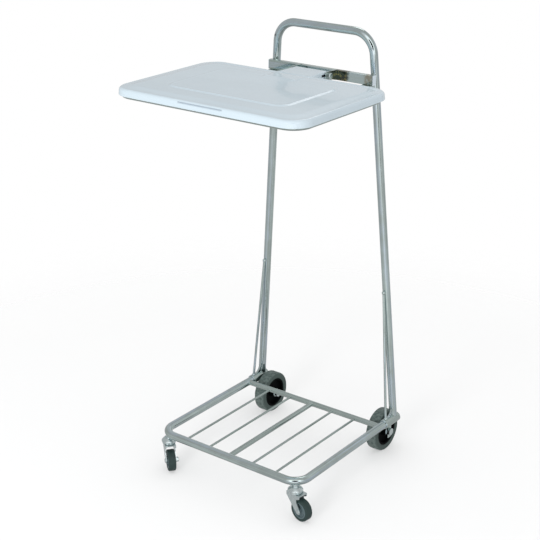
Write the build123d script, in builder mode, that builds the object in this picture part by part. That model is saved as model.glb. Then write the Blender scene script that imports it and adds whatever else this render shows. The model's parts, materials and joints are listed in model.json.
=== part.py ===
from build123d import *
import os
from math import atan, cos, radians, sin, sqrt, tan

os.makedirs("parts", exist_ok=True)

# Mobile bag holder stand in chromed tube, with a hinged plastic lid over a bag ring.
# Millimetres. Z is up, X is across the stand, -Y is its front.
# The origin is on the floor, at the middle of the stand's outline.
SIDES = (("left", -1), ("right", 1))

# Fits shared by all pieces
WELD_GAP = 0.1        # left between two pieces that are welded together
RUN_FIT = 0.05        # radial play of a pin or an axle in its bore
PLAY = 0.3            # smallest play between pieces that move past each other

# Round tube of the frame
TUBE_R = 9.0
TUBE_WALL = 1.5

# Tray: a U of tube, open towards the rear, with bars and wires across it
TRAY_X = 194.0        # centreline of a side tube
TRAY_Y = -175.5       # centreline of the front tube
TRAY_Z = 87.0         # centreline height
TRAY_BEND = 36.0      # centreline radius of the two front corners
CROSS_R = 6.5         # rear cross bar
CROSS_Y = 146.5
CROSS_WALL = 1.5
SPINE_R = 5.75        # centre bar, front to rear
SPINE_WALL = 1.5
WIRE_R = 2.6
WIRE_X = (61.0, 124.5)

# Sleeves that join the tray's side tubes to the uprights
SLEEVE_R = 11.5
SLEEVE_Y = 160.0      # front mouth
SLEEVE_LENGTH = 54.0
SLEEVE_FIT = 0.15
TRAY_PLUG_IN = 27.0   # how far a side tube reaches into its sleeve
CAP_DOME = 4.0
CAP_EDGE = 1.2        # height of the cap's rim, where its dome begins
CAP_SPIGOT = 9.0

# Uprights and handle: one tube, bent twice, leaning slightly forwards
FOOT_Y = 202.3        # centreline where it meets the sleeve's axis
HANDLE_X = 124.1      # where the centrelines of the upright and the top bar would cross
HANDLE_Y = 174.7
HANDLE_Z = 988.0
HANDLE_BEND = 50.0
DRILL_R = 2.2         # small hole in front of each upright, under the bend
DRILL_BELOW = 32.0    # from the top bar's centreline down to the hole

# Gusset in front of each foot
GUSSET_T = 5.0
GUSSET_REACH = 21.0   # along the sleeve
GUSSET_RISE = 24.0    # up the tube

# Stay rods in front of the uprights
STAY_R = 2.9
STAY_FOOT_Y = 168.5
STAY_TOP_Z = 405.0
BEAD_R = 4.4

# Hinge bar across the uprights
BAR_BELOW = 97.25     # from the top bar's centreline down to the middle of the hinge bar
BAR_OVER = 7.35       # from an upright's centreline to the bar's end
BAR_SINK = 0.8        # how far an upright is let into the bar's back
BAR_DEPTH = 12.5
BAR_HEIGHT = 21.5
BAR_WALL = 1.5
BAR_CORNER = 1.6
PLUG_FACE = 1.4
PLUG_SPIGOT = 8.0

# Hinge: bracket, pin and nut
PIN_FRONT = 30.98     # from the bar's front face to the pin's axis
PIN_RISE = 4.05       # from the middle of the bar up to the pin's axis
PIN_R = 4.0
EAR_GAP = 90.0        # between the two ears
EAR_T = 3.0
EAR_FRONT = 12.5      # from the pin's axis to the ear's front edge
EAR_TOP = 11.0        # from the pin's axis to the ear's top
EAR_PEAK = 2.2        # how far the ears stand above the bar where they meet it
EAR_BOTTOM = 10.0
HEX_FLAT = 13.0
HEX_HIGH = 5.0
NUT_HIGH = 6.0
BOLT_TIP = 1.5

# Lid
LID_HALF = 240.0
LID_DEPTH = 329.0
LID_BEFORE_PIN = 47.0  # from the lid's rear edge to the pin's axis
LID_DROP = 8.8        # from the pin's axis down to the lid's lower edge
LID_HIGH = 15.5       # lower edge to the top of the rim
LID_CORNER = 46.0
LID_DRAFT = 5.0       # degrees
LID_SHOULDER = 6.5
LID_WALL = 3.0
CROWN_INSET = 18.0    # from the rim to the foot of the crown
CROWN_SLOPE = 16.0    # width of the slope that rises to the crown
CROWN_RISE = 2.2
PANEL_HALF = 156.0
PANEL_IN_FRONT = 67.0  # from the lid's front edge to the panel
PANEL_IN_BACK = 57.0
PANEL_CORNER = 34.0
PANEL_SLOPE = 7.0
PANEL_RISE = 1.9
TONGUE_PLAY = 1.2     # each side, between the tongue and an ear
KNUCKLE_R = 8.6
FLARE_HALF = 84.0     # half width where the tongue runs out into the lid
FLARE_BEFORE_PIN = 17.0
TONGUE_ROUND = 1.6    # along the tongue's upper edges
GRIP_HALF = 57.0
GRIP_RISE = 8.2       # above the lid's lower edge
GRIP_HIGH = 3.8
GRIP_DEEP = 1.4
REST_WIDE = 14.0      # ribs under the lid that close over the bag ring
REST_LONG = 5.0
REST_IN = (100.0, 230.0)  # from the lid's front edge

# Bag ring and the arms that carry it
RING_R = 4.0
RING_IN_SIDE = 9.0    # from the lid's side to the bar's centreline
RING_IN_FRONT = 10.0
RING_IN_BACK = 13.0
RING_BEND = 38.0
ARM_X = 124.0
ARM_WIDE = 22.0
ARM_T = 4.0

# Rear wheels
WHEEL_X = 165.0
WHEEL_Y = 200.0
WHEEL_R = 50.0
WHEEL_WIDE = 28.0
TREAD_ROUND = 5.0
HUB_R = 36.0
HUB_RIM = 4.5
HUB_WEB = 9.0
BOSS_R = 12.0
BOSS_LONG = 31.0
AXLE_R = 5.0
WASHER_R = 10.0
WASHER_T = 1.6
AXLE_HEX = 16.0
AXLE_HEX_HIGH = 6.0
AXLE_NUT_HIGH = 8.0
PLATE_WIDE = 14.0
PLATE_T = 4.0
PLATE_BELOW = 16.0    # below the axle
PLATE_ABOVE = 35.0    # above the axle, up beside the sleeve

# Front casters
STEM_ANGLE = 52.0     # where the stem stands in the tray's corner, degrees from X
TRAIL = 20.0
HEADING = {"left": -39.0, "right": -10.0}
CASTER_R = 25.0
CASTER_WIDE = 18.0
CASTER_ROUND = 4.5
CASTER_HUB_R = 18.5
CASTER_HUB_RIM = 2.6
CASTER_WEB = 7.0
CASTER_BOSS_R = 6.0
CASTER_BOSS_LONG = 19.6
CASTER_AXLE_R = 3.0
STEM_R = 4.0
STEM_TOP = 92.5
STEM_HEAD_R = 7.0
STEM_HEAD_T = 2.6
BUSH_R = 6.4
BUSH_NECK = 2.2       # stands below the tube
BUSH_REACH = 3.4      # above the tube's centreline
CAP_TOP_R = 8.2
CAP_R = 17.0
CAP_CONE = 7.2        # height of the cone
CAP_SKIRT = 3.6
CAP_T = 1.5
RACE_R = 15.2
CROWN_Z = 60.0        # underside of the fork's crown
CROWN_T = 2.4
RACE_HIGH = 4.3
FORK_T = 2.0
FORK_WIDE = 24.6
FORK_EYE_R = 7.0
FORK_REAR = 23.0

SLEEVE_BACK = SLEEVE_Y + SLEEVE_LENGTH
SLEEVE_BORE = TUBE_R + SLEEVE_FIT
TRAY_END = SLEEVE_Y + TRAY_PLUG_IN
LEAN = atan((FOOT_Y - HANDLE_Y) / (HANDLE_Z - TRAY_Z))
HANDLE_LENGTH = (HANDLE_Z - TRAY_Z) / cos(LEAN)


def upright_point(height, side):
    """Centre of an upright at a height, below the bends."""
    share = (height - TRAY_Z) / (HANDLE_Z - TRAY_Z)
    return (
        side * (TRAY_X + (HANDLE_X - TRAY_X) * share),
        FOOT_Y + (HANDLE_Y - FOOT_Y) * share,
        height,
    )


def upright_plane(height, side):
    """A plane across an upright, its normal up along the tube."""
    here = Vector(*upright_point(height, side))
    above = Vector(*upright_point(height + 1, side))
    return Plane(origin=here, z_dir=above - here)


# The hinge bar sits on the uprights, and the lid and the bag ring take their places from it
DRILL_Z = HANDLE_Z - DRILL_BELOW
BAR_MID_Z = HANDLE_Z - BAR_BELOW
BAR_Z = BAR_MID_Z - BAR_HEIGHT / 2
BAR_TOP = BAR_MID_Z + BAR_HEIGHT / 2
BAR_HALF = upright_point(BAR_MID_Z, 1)[0] + BAR_OVER
BAR_BACK = upright_point(BAR_MID_Z, 1)[1] - TUBE_R + BAR_SINK
BAR_Y = BAR_BACK - BAR_DEPTH
BAR_MID_Y = BAR_BACK - BAR_DEPTH / 2
PIN_Y = BAR_Y - PIN_FRONT
PIN_Z = BAR_MID_Z + PIN_RISE
LID_BACK = PIN_Y - LID_BEFORE_PIN
LID_FRONT = LID_BACK - LID_DEPTH
LID_BOTTOM = PIN_Z - LID_DROP
LID_EDGE = LID_BOTTOM + LID_HIGH
PANEL_FRONT = LID_FRONT + PANEL_IN_FRONT
PANEL_BACK = LID_BACK - PANEL_IN_BACK
FLARE_START = PIN_Y - FLARE_BEFORE_PIN
GRIP_Z = LID_BOTTOM + GRIP_RISE
RING_X = LID_HALF - RING_IN_SIDE
RING_FRONT = LID_FRONT + RING_IN_FRONT
RING_BACK = LID_BACK - RING_IN_BACK


def dome_height(radius):
    """Height of a sleeve cap's dome at a radius."""
    rise = CAP_DOME - CAP_EDGE
    dome_r = (SLEEVE_R ** 2 + rise ** 2) / (2 * rise)
    return CAP_DOME - dome_r + sqrt(dome_r ** 2 - radius ** 2)


def save(piece, name):
    """Label a finished piece and write its file."""
    piece.part.label = name
    export_step(piece.part, "parts/" + name + ".step")


# Tray tube, bored at its front corners for the caster bushes
BEND_CENTRE_X = TRAY_X - TRAY_BEND
BEND_CENTRE_Y = TRAY_Y + TRAY_BEND
STEM_X = BEND_CENTRE_X + TRAY_BEND * cos(radians(STEM_ANGLE))
STEM_Y = BEND_CENTRE_Y - TRAY_BEND * sin(radians(STEM_ANGLE))

with BuildPart() as base_tube:
    with BuildLine(Plane.XY.offset(TRAY_Z)) as tray_path:
        FilletPolyline(
            (-TRAY_X, TRAY_END),
            (-TRAY_X, TRAY_Y),
            (TRAY_X, TRAY_Y),
            (TRAY_X, TRAY_END),
            radius=TRAY_BEND,
        )
    with BuildSketch(Plane(origin=(-TRAY_X, TRAY_END, TRAY_Z), z_dir=(0, -1, 0))):
        Circle(TUBE_R)
        Circle(TUBE_R - TUBE_WALL, mode=Mode.SUBTRACT)
    sweep()
    with BuildSketch(Plane.XY.offset(TRAY_Z)):
        with Locations((-STEM_X, STEM_Y), (STEM_X, STEM_Y)):
            Circle(BUSH_R + WELD_GAP)
    extrude(amount=-2 * TUBE_R, mode=Mode.SUBTRACT)
save(base_tube, "base_tube")

# Rear cross bar, its ends cut to sit on the side tubes
with BuildPart() as rear_cross_bar:
    with BuildSketch(Plane.YZ.offset(-TRAY_X)):
        with Locations((CROSS_Y, TRAY_Z)):
            Circle(CROSS_R)
            Circle(CROSS_R - CROSS_WALL, mode=Mode.SUBTRACT)
    extrude(amount=2 * TRAY_X)
    with BuildSketch(Plane.XZ.offset(-CROSS_Y - 2 * CROSS_R)):
        with Locations((-TRAY_X, TRAY_Z), (TRAY_X, TRAY_Z)):
            Circle(TUBE_R + WELD_GAP)
    extrude(amount=4 * CROSS_R, mode=Mode.SUBTRACT)
save(rear_cross_bar, "rear_cross_bar")


def lengthwise_bar(x, radius, wall):
    """A bar or wire from the front tube to the cross bar, its ends cut to fit both."""
    with BuildPart() as bar:
        with BuildSketch(Plane.XZ.offset(-CROSS_Y)):
            with Locations((x, TRAY_Z)):
                Circle(radius)
                if wall:
                    Circle(radius - wall, mode=Mode.SUBTRACT)
        extrude(amount=CROSS_Y - TRAY_Y)
        with BuildSketch(Plane.YZ.offset(x - 2 * radius)):
            with Locations((TRAY_Y, TRAY_Z)):
                Circle(TUBE_R + WELD_GAP)
            with Locations((CROSS_Y, TRAY_Z)):
                Circle(CROSS_R + WELD_GAP)
        extrude(amount=4 * radius, mode=Mode.SUBTRACT)
    return bar


centre_bar = lengthwise_bar(0, SPINE_R, SPINE_WALL)
save(centre_bar, "centre_bar")

wires = [lengthwise_bar(side * x, WIRE_R, 0) for x in WIRE_X for side in (-1, 1)]
with BuildPart() as tray_wires:
    for wire in wires:
        add(wire.part)
save(tray_wires, "tray_wires")

# Uprights and handle
with BuildPart() as upright_handle:
    with BuildLine(
        Plane(origin=(0, FOOT_Y, TRAY_Z), x_dir=(1, 0, 0), z_dir=(0, -cos(LEAN), -sin(LEAN)))
    ) as handle_path:
        FilletPolyline(
            (-TRAY_X, 0),
            (-HANDLE_X, HANDLE_LENGTH),
            (HANDLE_X, HANDLE_LENGTH),
            (TRAY_X, 0),
            radius=HANDLE_BEND,
        )
    with BuildSketch(Plane(origin=handle_path.line @ 0, z_dir=handle_path.line % 0)):
        Circle(TUBE_R)
        Circle(TUBE_R - TUBE_WALL, mode=Mode.SUBTRACT)
    sweep()
    with BuildSketch(Plane.XZ.offset(-FOOT_Y - 2 * TUBE_R)):
        with Locations((-TRAY_X, TRAY_Z), (TRAY_X, TRAY_Z)):
            Circle(SLEEVE_R + WELD_GAP)
    extrude(amount=4 * TUBE_R, mode=Mode.SUBTRACT)
    with BuildSketch(Plane.XZ.offset(-upright_point(DRILL_Z, 1)[1])):
        for name, side in SIDES:
            with Locations((upright_point(DRILL_Z, side)[0], DRILL_Z)):
                Circle(DRILL_R)
    extrude(amount=2 * TUBE_R, mode=Mode.SUBTRACT)
save(upright_handle, "upright_handle")

for name, side in SIDES:
    # Sleeve, with its mouth towards the front and a domed plug at the rear
    with BuildPart() as sleeve:
        with BuildSketch(Plane.XZ.offset(-SLEEVE_Y)):
            with Locations((side * TRAY_X, TRAY_Z)):
                Circle(SLEEVE_R)
                Circle(SLEEVE_BORE, mode=Mode.SUBTRACT)
        extrude(amount=-SLEEVE_LENGTH)
        chamfer(sleeve.edges().filter_by(GeomType.CIRCLE).group_by(Axis.Y)[0], 0.6)
    save(sleeve, "sleeve_" + name)

    with BuildPart() as cap:
        with BuildSketch(
            Plane(origin=(side * TRAY_X, SLEEVE_BACK, TRAY_Z), x_dir=(0, 0, 1), z_dir=(-1, 0, 0))
        ):
            with BuildLine():
                Polyline(
                    (0, CAP_DOME),
                    (0, -CAP_SPIGOT),
                    (SLEEVE_BORE - WELD_GAP, -CAP_SPIGOT),
                    (SLEEVE_BORE - WELD_GAP, 0),
                    (SLEEVE_R, 0),
                    (SLEEVE_R, CAP_EDGE),
                )
                ThreePointArc(
                    (SLEEVE_R, CAP_EDGE),
                    (SLEEVE_R / 2, dome_height(SLEEVE_R / 2)),
                    (0, CAP_DOME),
                )
            make_face()
        revolve(axis=Axis((side * TRAY_X, SLEEVE_BACK, TRAY_Z), (0, 1, 0)))
    save(cap, "sleeve_cap_" + name)

    # Gusset web between the sleeve and the front of the foot
    with BuildPart() as gusset:
        with BuildSketch(Plane.YZ.offset(side * TRAY_X - GUSSET_T / 2)):
            with BuildLine():
                toe = (FOOT_Y - TUBE_R - GUSSET_REACH, TRAY_Z + SLEEVE_R)
                head = (FOOT_Y - TUBE_R, TRAY_Z + SLEEVE_R + GUSSET_RISE)
                Polyline(toe, (toe[0], TRAY_Z), (FOOT_Y, TRAY_Z), (FOOT_Y, head[1]), head)
                ThreePointArc(
                    head,
                    (head[0] - 0.24 * GUSSET_REACH, toe[1] + 0.28 * GUSSET_RISE),
                    toe,
                )
            make_face()
        extrude(amount=GUSSET_T)
        with BuildSketch(Plane.XZ.offset(-FOOT_Y - TUBE_R)):
            with Locations((side * TRAY_X, TRAY_Z)):
                Circle(SLEEVE_R + WELD_GAP)
        extrude(amount=GUSSET_REACH + 4 * TUBE_R, mode=Mode.SUBTRACT)
        with BuildSketch(upright_plane(TRAY_Z, side)):
            Circle(TUBE_R + WELD_GAP)
        extrude(amount=4 * GUSSET_RISE, mode=Mode.SUBTRACT)
    save(gusset, "foot_gusset_" + name)

    # Stay rod from the sleeve's mouth to the front of the upright, with a weld bead at each end
    stay_foot = Vector(side * TRAY_X, STAY_FOOT_Y, TRAY_Z + SLEEVE_R)
    stay_head = Vector(*upright_point(STAY_TOP_Z, side)) - Vector(0, TUBE_R + STAY_R + WELD_GAP, 0)
    with BuildPart() as stay_rod:
        with BuildSketch(Plane(origin=stay_foot, z_dir=stay_head - stay_foot)):
            Circle(STAY_R)
        extrude(amount=(stay_head - stay_foot).length)
        with Locations(stay_foot, stay_head):
            Sphere(BEAD_R)
        with BuildSketch(Plane.XZ.offset(-SLEEVE_Y)):
            with Locations((side * TRAY_X, TRAY_Z)):
                Circle(SLEEVE_R + WELD_GAP)
        extrude(amount=-SLEEVE_LENGTH, mode=Mode.SUBTRACT)
        with BuildSketch(upright_plane(STAY_TOP_Z - 4 * BEAD_R, side)):
            Circle(TUBE_R + WELD_GAP)
        extrude(amount=8 * BEAD_R, mode=Mode.SUBTRACT)
    save(stay_rod, "stay_rod_" + name)

# Hinge bar, notched at the back where it sits on the uprights
with BuildPart() as hinge_bar:
    with BuildSketch(Plane.YZ.offset(-BAR_HALF + PLUG_FACE)):
        with Locations((BAR_MID_Y, BAR_MID_Z)):
            RectangleRounded(BAR_DEPTH, BAR_HEIGHT, BAR_CORNER)
            Rectangle(BAR_DEPTH - 2 * BAR_WALL, BAR_HEIGHT - 2 * BAR_WALL, mode=Mode.SUBTRACT)
    extrude(amount=2 * (BAR_HALF - PLUG_FACE))
    for name, side in SIDES:
        with BuildSketch(upright_plane(BAR_Z - TUBE_R, side)):
            Circle(TUBE_R + WELD_GAP)
        extrude(amount=BAR_HEIGHT + 2 * TUBE_R, mode=Mode.SUBTRACT)
save(hinge_bar, "hinge_bar")

for name, side in SIDES:
    face_x = side * (BAR_HALF - PLUG_FACE)
    with BuildPart() as bar_plug:
        with BuildSketch(Plane.YZ.offset(face_x)):
            with Locations((BAR_MID_Y, BAR_MID_Z)):
                RectangleRounded(BAR_DEPTH, BAR_HEIGHT, BAR_CORNER)
        extrude(amount=side * PLUG_FACE)
        with BuildSketch(Plane.YZ.offset(face_x)):
            with Locations((BAR_MID_Y, BAR_MID_Z)):
                Rectangle(
                    BAR_DEPTH - 2 * BAR_WALL - 2 * WELD_GAP,
                    BAR_HEIGHT - 2 * BAR_WALL - 2 * WELD_GAP,
                )
        extrude(amount=-side * PLUG_SPIGOT)
        with BuildSketch(upright_plane(BAR_Z - TUBE_R, side)):
            Circle(TUBE_R + WELD_GAP)
        extrude(amount=BAR_HEIGHT + 2 * TUBE_R, mode=Mode.SUBTRACT)
    save(bar_plug, "bar_plug_" + name)

# Hinge bracket: one folded strip, welded to the bar's front, its two ears bored for the pin
EAR_OUT = EAR_GAP / 2 + EAR_T

with BuildPart() as hinge_bracket:
    with BuildSketch(Plane.YZ.offset(-EAR_OUT)):
        with BuildLine():
            Polyline(
                (BAR_Y, BAR_Z + 1),
                (BAR_Y, BAR_TOP + EAR_PEAK),
                (BAR_Y - EAR_T, BAR_TOP + EAR_PEAK),
                (PIN_Y - EAR_FRONT, PIN_Z + EAR_TOP),
                (PIN_Y - EAR_FRONT, PIN_Z - EAR_BOTTOM),
                (PIN_Y + EAR_FRONT, PIN_Z - EAR_BOTTOM),
                (BAR_Y - EAR_T, BAR_Z + 1),
                close=True,
            )
        make_face()
        front_corners = vertices().group_by(Axis.X)[0]
        fillet(front_corners, EAR_TOP - 3)
    extrude(amount=2 * EAR_OUT)
    with BuildSketch(Plane.XY.offset(BAR_Z - EAR_T)):
        with Locations((0, PIN_Y - EAR_FRONT)):
            Rectangle(
                EAR_GAP,
                BAR_Y - EAR_T - PIN_Y + EAR_FRONT,
                align=(Align.CENTER, Align.MIN),
            )
    extrude(amount=BAR_HEIGHT + 4 * EAR_T, mode=Mode.SUBTRACT)
    with BuildSketch(Plane.XY.offset(BAR_TOP - WELD_GAP)):
        with Locations((0, BAR_Y)):
            Rectangle(EAR_GAP, 3 * EAR_T)
    extrude(amount=2 * EAR_PEAK, mode=Mode.SUBTRACT)
    with BuildSketch(Plane.YZ.offset(-EAR_OUT)):
        with Locations((PIN_Y, PIN_Z)):
            Circle(PIN_R + WELD_GAP)
    extrude(amount=2 * EAR_OUT, mode=Mode.SUBTRACT)
save(hinge_bracket, "hinge_bracket")

with BuildPart() as hinge_pin:
    with BuildSketch(Plane.YZ.offset(-EAR_OUT - NUT_HIGH - BOLT_TIP)):
        with Locations((PIN_Y, PIN_Z)):
            Circle(PIN_R)
    extrude(amount=2 * EAR_OUT + NUT_HIGH + BOLT_TIP + HEX_HIGH / 2)
    chamfer(hinge_pin.edges().group_by(Axis.X)[0], 0.8)
    with BuildSketch(Plane.YZ.offset(EAR_OUT)):
        with Locations((PIN_Y, PIN_Z)):
            RegularPolygon(HEX_FLAT / 2, 6, major_radius=False)
    extrude(amount=HEX_HIGH)
    chamfer(hinge_pin.faces().sort_by(Axis.X)[-1].edges(), 0.7)
save(hinge_pin, "hinge_pin")

with BuildPart() as hinge_nut:
    with BuildSketch(Plane.YZ.offset(-EAR_OUT)):
        with Locations((PIN_Y, PIN_Z)):
            RegularPolygon(HEX_FLAT / 2, 6, major_radius=False)
            Circle(PIN_R + WELD_GAP, mode=Mode.SUBTRACT)
    extrude(amount=-NUT_HIGH)
save(hinge_nut, "hinge_nut")

# Lid: a thin moulding with a rolled rim, a crown, a raised panel and a tongue for the hinge
LID_MID_Y = (LID_FRONT + LID_BACK) / 2
CROWN_Z_TOP = LID_EDGE + CROWN_RISE
PANEL_MID_Y = (PANEL_FRONT + PANEL_BACK) / 2
TONGUE_HALF = EAR_GAP / 2 - TONGUE_PLAY
RING_Z = BAR_Z + WELD_GAP + RING_R
REST_Z = RING_Z + RING_R + PLAY
LID_EASE = (GRIP_Z - LID_BOTTOM) * tan(radians(LID_DRAFT))


def rim_outline(inset, height):
    """The lid's outline, drawn in by an inset, at a height."""
    with BuildSketch(Plane.XY.offset(height)) as outline:
        with Locations((0, LID_MID_Y)):
            RectangleRounded(
                2 * (LID_HALF - inset),
                LID_DEPTH - 2 * inset,
                LID_CORNER - inset * 0.6,
            )
    return outline


def lid_form(shrink):
    """The lid's outer form, or its hollow when shrink is the wall's thickness."""
    bottom = LID_BOTTOM - (1 if shrink else 0)
    with BuildPart() as form:
        add(rim_outline(shrink, bottom).sketch)
        extrude(amount=LID_EDGE - shrink - bottom, taper=LID_DRAFT)
        fillet(form.faces().sort_by(Axis.Z)[-1].edges(), LID_SHOULDER)
    with BuildPart() as crown:
        add(rim_outline(CROWN_INSET + shrink, LID_EDGE - shrink).sketch)
        add(rim_outline(CROWN_INSET + CROWN_SLOPE + shrink, CROWN_Z_TOP - shrink).sketch)
        loft(ruled=True)
        fillet(crown.faces().sort_by(Axis.Z)[-1].edges(), 20)
    with BuildPart() as panel:
        with BuildSketch(Plane.XY.offset(CROWN_Z_TOP - shrink)):
            with Locations((0, PANEL_MID_Y)):
                RectangleRounded(
                    2 * PANEL_HALF - 2 * shrink,
                    PANEL_BACK - PANEL_FRONT - 2 * shrink,
                    PANEL_CORNER,
                )
        with BuildSketch(Plane.XY.offset(CROWN_Z_TOP + PANEL_RISE - shrink)):
            with Locations((0, PANEL_MID_Y)):
                RectangleRounded(
                    2 * (PANEL_HALF - PANEL_SLOPE - shrink),
                    PANEL_BACK - PANEL_FRONT - 2 * PANEL_SLOPE - 2 * shrink,
                    PANEL_CORNER - PANEL_SLOPE,
                )
        loft(ruled=True)
    return form, crown, panel


outer_forms = lid_form(0)
inner_forms = lid_form(LID_WALL)

with BuildPart() as tongue_pocket:
    with BuildSketch(Plane.XY.offset(LID_BOTTOM - 1)):
        with BuildLine():
            Polyline(
                (-TONGUE_HALF + LID_WALL, PIN_Y - KNUCKLE_R - 1),
                (TONGUE_HALF - LID_WALL, PIN_Y - KNUCKLE_R - 1),
                (TONGUE_HALF - LID_WALL, LID_BACK - 2 * LID_WALL),
                (-TONGUE_HALF + LID_WALL, LID_BACK - 2 * LID_WALL),
                close=True,
            )
        make_face()
    extrude(amount=LID_EDGE - LID_BOTTOM + 1 - LID_WALL)

with BuildPart() as lid:
    for form in outer_forms:
        add(form.part)
    with BuildSketch(Plane.XY.offset(PIN_Z)):
        with BuildLine():
            Polyline(
                (-TONGUE_HALF, PIN_Y),
                (-TONGUE_HALF, FLARE_START),
                (-FLARE_HALF, LID_BACK - CROWN_INSET),
                (-FLARE_HALF, LID_BACK - CROWN_INSET - CROWN_SLOPE),
                (FLARE_HALF, LID_BACK - CROWN_INSET - CROWN_SLOPE),
                (FLARE_HALF, LID_BACK - CROWN_INSET),
                (TONGUE_HALF, FLARE_START),
                (TONGUE_HALF, PIN_Y),
                close=True,
            )
        make_face()
    extrude(amount=KNUCKLE_R)
    with BuildSketch(Plane.YZ.offset(-TONGUE_HALF)):
        with Locations((PIN_Y, PIN_Z)):
            Circle(KNUCKLE_R)
        with Locations((PIN_Y, PIN_Z - KNUCKLE_R)):
            Rectangle(
                PIN_Y - LID_BACK + LID_WALL,
                KNUCKLE_R,
                align=(Align.MAX, Align.MIN),
            )
    extrude(amount=2 * TONGUE_HALF)
    level = lid.edges().filter_by(lambda e: abs(e.center().Z - PIN_Z - KNUCKLE_R) < 0.01)
    fillet(level.filter_by(lambda e: abs(e.center().X) > TONGUE_HALF - 0.01), TONGUE_ROUND)
    for form in inner_forms:
        add(form.part, mode=Mode.SUBTRACT)
    add(tongue_pocket.part, mode=Mode.SUBTRACT)
    with BuildSketch(Plane.YZ.offset(-TONGUE_HALF)):
        with Locations((PIN_Y, PIN_Z)):
            Circle(PIN_R + RUN_FIT)
    extrude(amount=2 * TONGUE_HALF, mode=Mode.SUBTRACT)
    with BuildSketch(Plane.XZ.offset(-LID_FRONT - GRIP_DEEP - LID_EASE)):
        with Locations((0, GRIP_Z + GRIP_HIGH / 2)):
            SlotOverall(2 * GRIP_HALF, GRIP_HIGH)
    extrude(amount=2 * GRIP_DEEP + LID_EASE, mode=Mode.SUBTRACT)
    for rest_in in REST_IN:
        for name, side in SIDES:
            wall_x = side * (LID_HALF - 0.75 * LID_WALL)
            with BuildSketch(Plane.XZ.offset(-LID_FRONT - rest_in)):
                with BuildLine():
                    Polyline(
                        (wall_x, REST_Z),
                        (wall_x, LID_EDGE - LID_SHOULDER),
                        (wall_x - side * 2, LID_EDGE - 0.6 * LID_WALL),
                        (wall_x - side * REST_WIDE, LID_EDGE - 0.6 * LID_WALL),
                        (wall_x - side * REST_WIDE, REST_Z),
                        close=True,
                    )
                make_face()
            extrude(amount=REST_LONG)
save(lid, "lid")

# Bag ring: a closed loop of bar under the lid's rim, on two flat arms welded under the bar
RING_DEPTH = RING_BACK - RING_FRONT

with BuildSketch(Plane.XY.offset(RING_Z)) as ring_outline:
    with Locations((0, (RING_FRONT + RING_BACK) / 2)):
        RectangleRounded(2 * RING_X, RING_DEPTH, RING_BEND)
ring_path = ring_outline.sketch.face().outer_wire()

with BuildPart() as bag_ring:
    with BuildSketch(Plane(origin=ring_path @ 0, z_dir=ring_path % 0)):
        Circle(RING_R)
    sweep(path=ring_path)
save(bag_ring, "bag_ring")

with BuildPart() as ring_arms:
    for name, side in SIDES:
        with BuildSketch(Plane.XY.offset(BAR_Z)):
            with Locations((side * ARM_X, (RING_BACK - 2 * RING_R + BAR_MID_Y) / 2)):
                RectangleRounded(ARM_WIDE, BAR_MID_Y - RING_BACK + 2 * RING_R, 4)
        extrude(amount=-ARM_T)
save(ring_arms, "ring_arms")


# Wheels and their fixings
def tyre(plane, axis, radius, inner, width, rounding):
    """A solid tyre: a ring with rounded shoulders. The plane's Y runs along the axle."""
    with BuildPart() as ring:
        with BuildSketch(plane):
            with Locations(((radius + inner) / 2, 0)):
                Rectangle(radius - inner, width)
            fillet(vertices().group_by(Axis.X)[-1], rounding)
        revolve(axis=axis)
    return ring


def hub(plane, axis, radius, width, rim, web, boss_r, boss_long, bore):
    """A moulded hub: rim, thin web and boss, with the bore for its axle."""
    with BuildPart() as centre:
        with BuildSketch(plane):
            with Locations((radius - rim / 2, 0)):
                Rectangle(rim, width)
            with Locations(((radius + bore) / 2, 0)):
                Rectangle(radius - bore, web)
            with Locations(((boss_r + bore) / 2, 0)):
                Rectangle(boss_r - bore, boss_long)
        revolve(axis=axis)
    return centre


def hex_prism(plane, flat, height, bore):
    """A hexagon nut, or a bolt's head when bore is 0, standing on a plane."""
    with BuildPart() as prism:
        with BuildSketch(plane):
            RegularPolygon(flat / 2, 6, major_radius=False)
            if bore:
                Circle(bore, mode=Mode.SUBTRACT)
        extrude(amount=height)
    return prism


PLATE_IN = WHEEL_X + BOSS_LONG / 2 + PLAY + WASHER_T
HUB_IN = WHEEL_X - BOSS_LONG / 2 - PLAY
NUT_FACE = HUB_IN - WASHER_T

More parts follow.
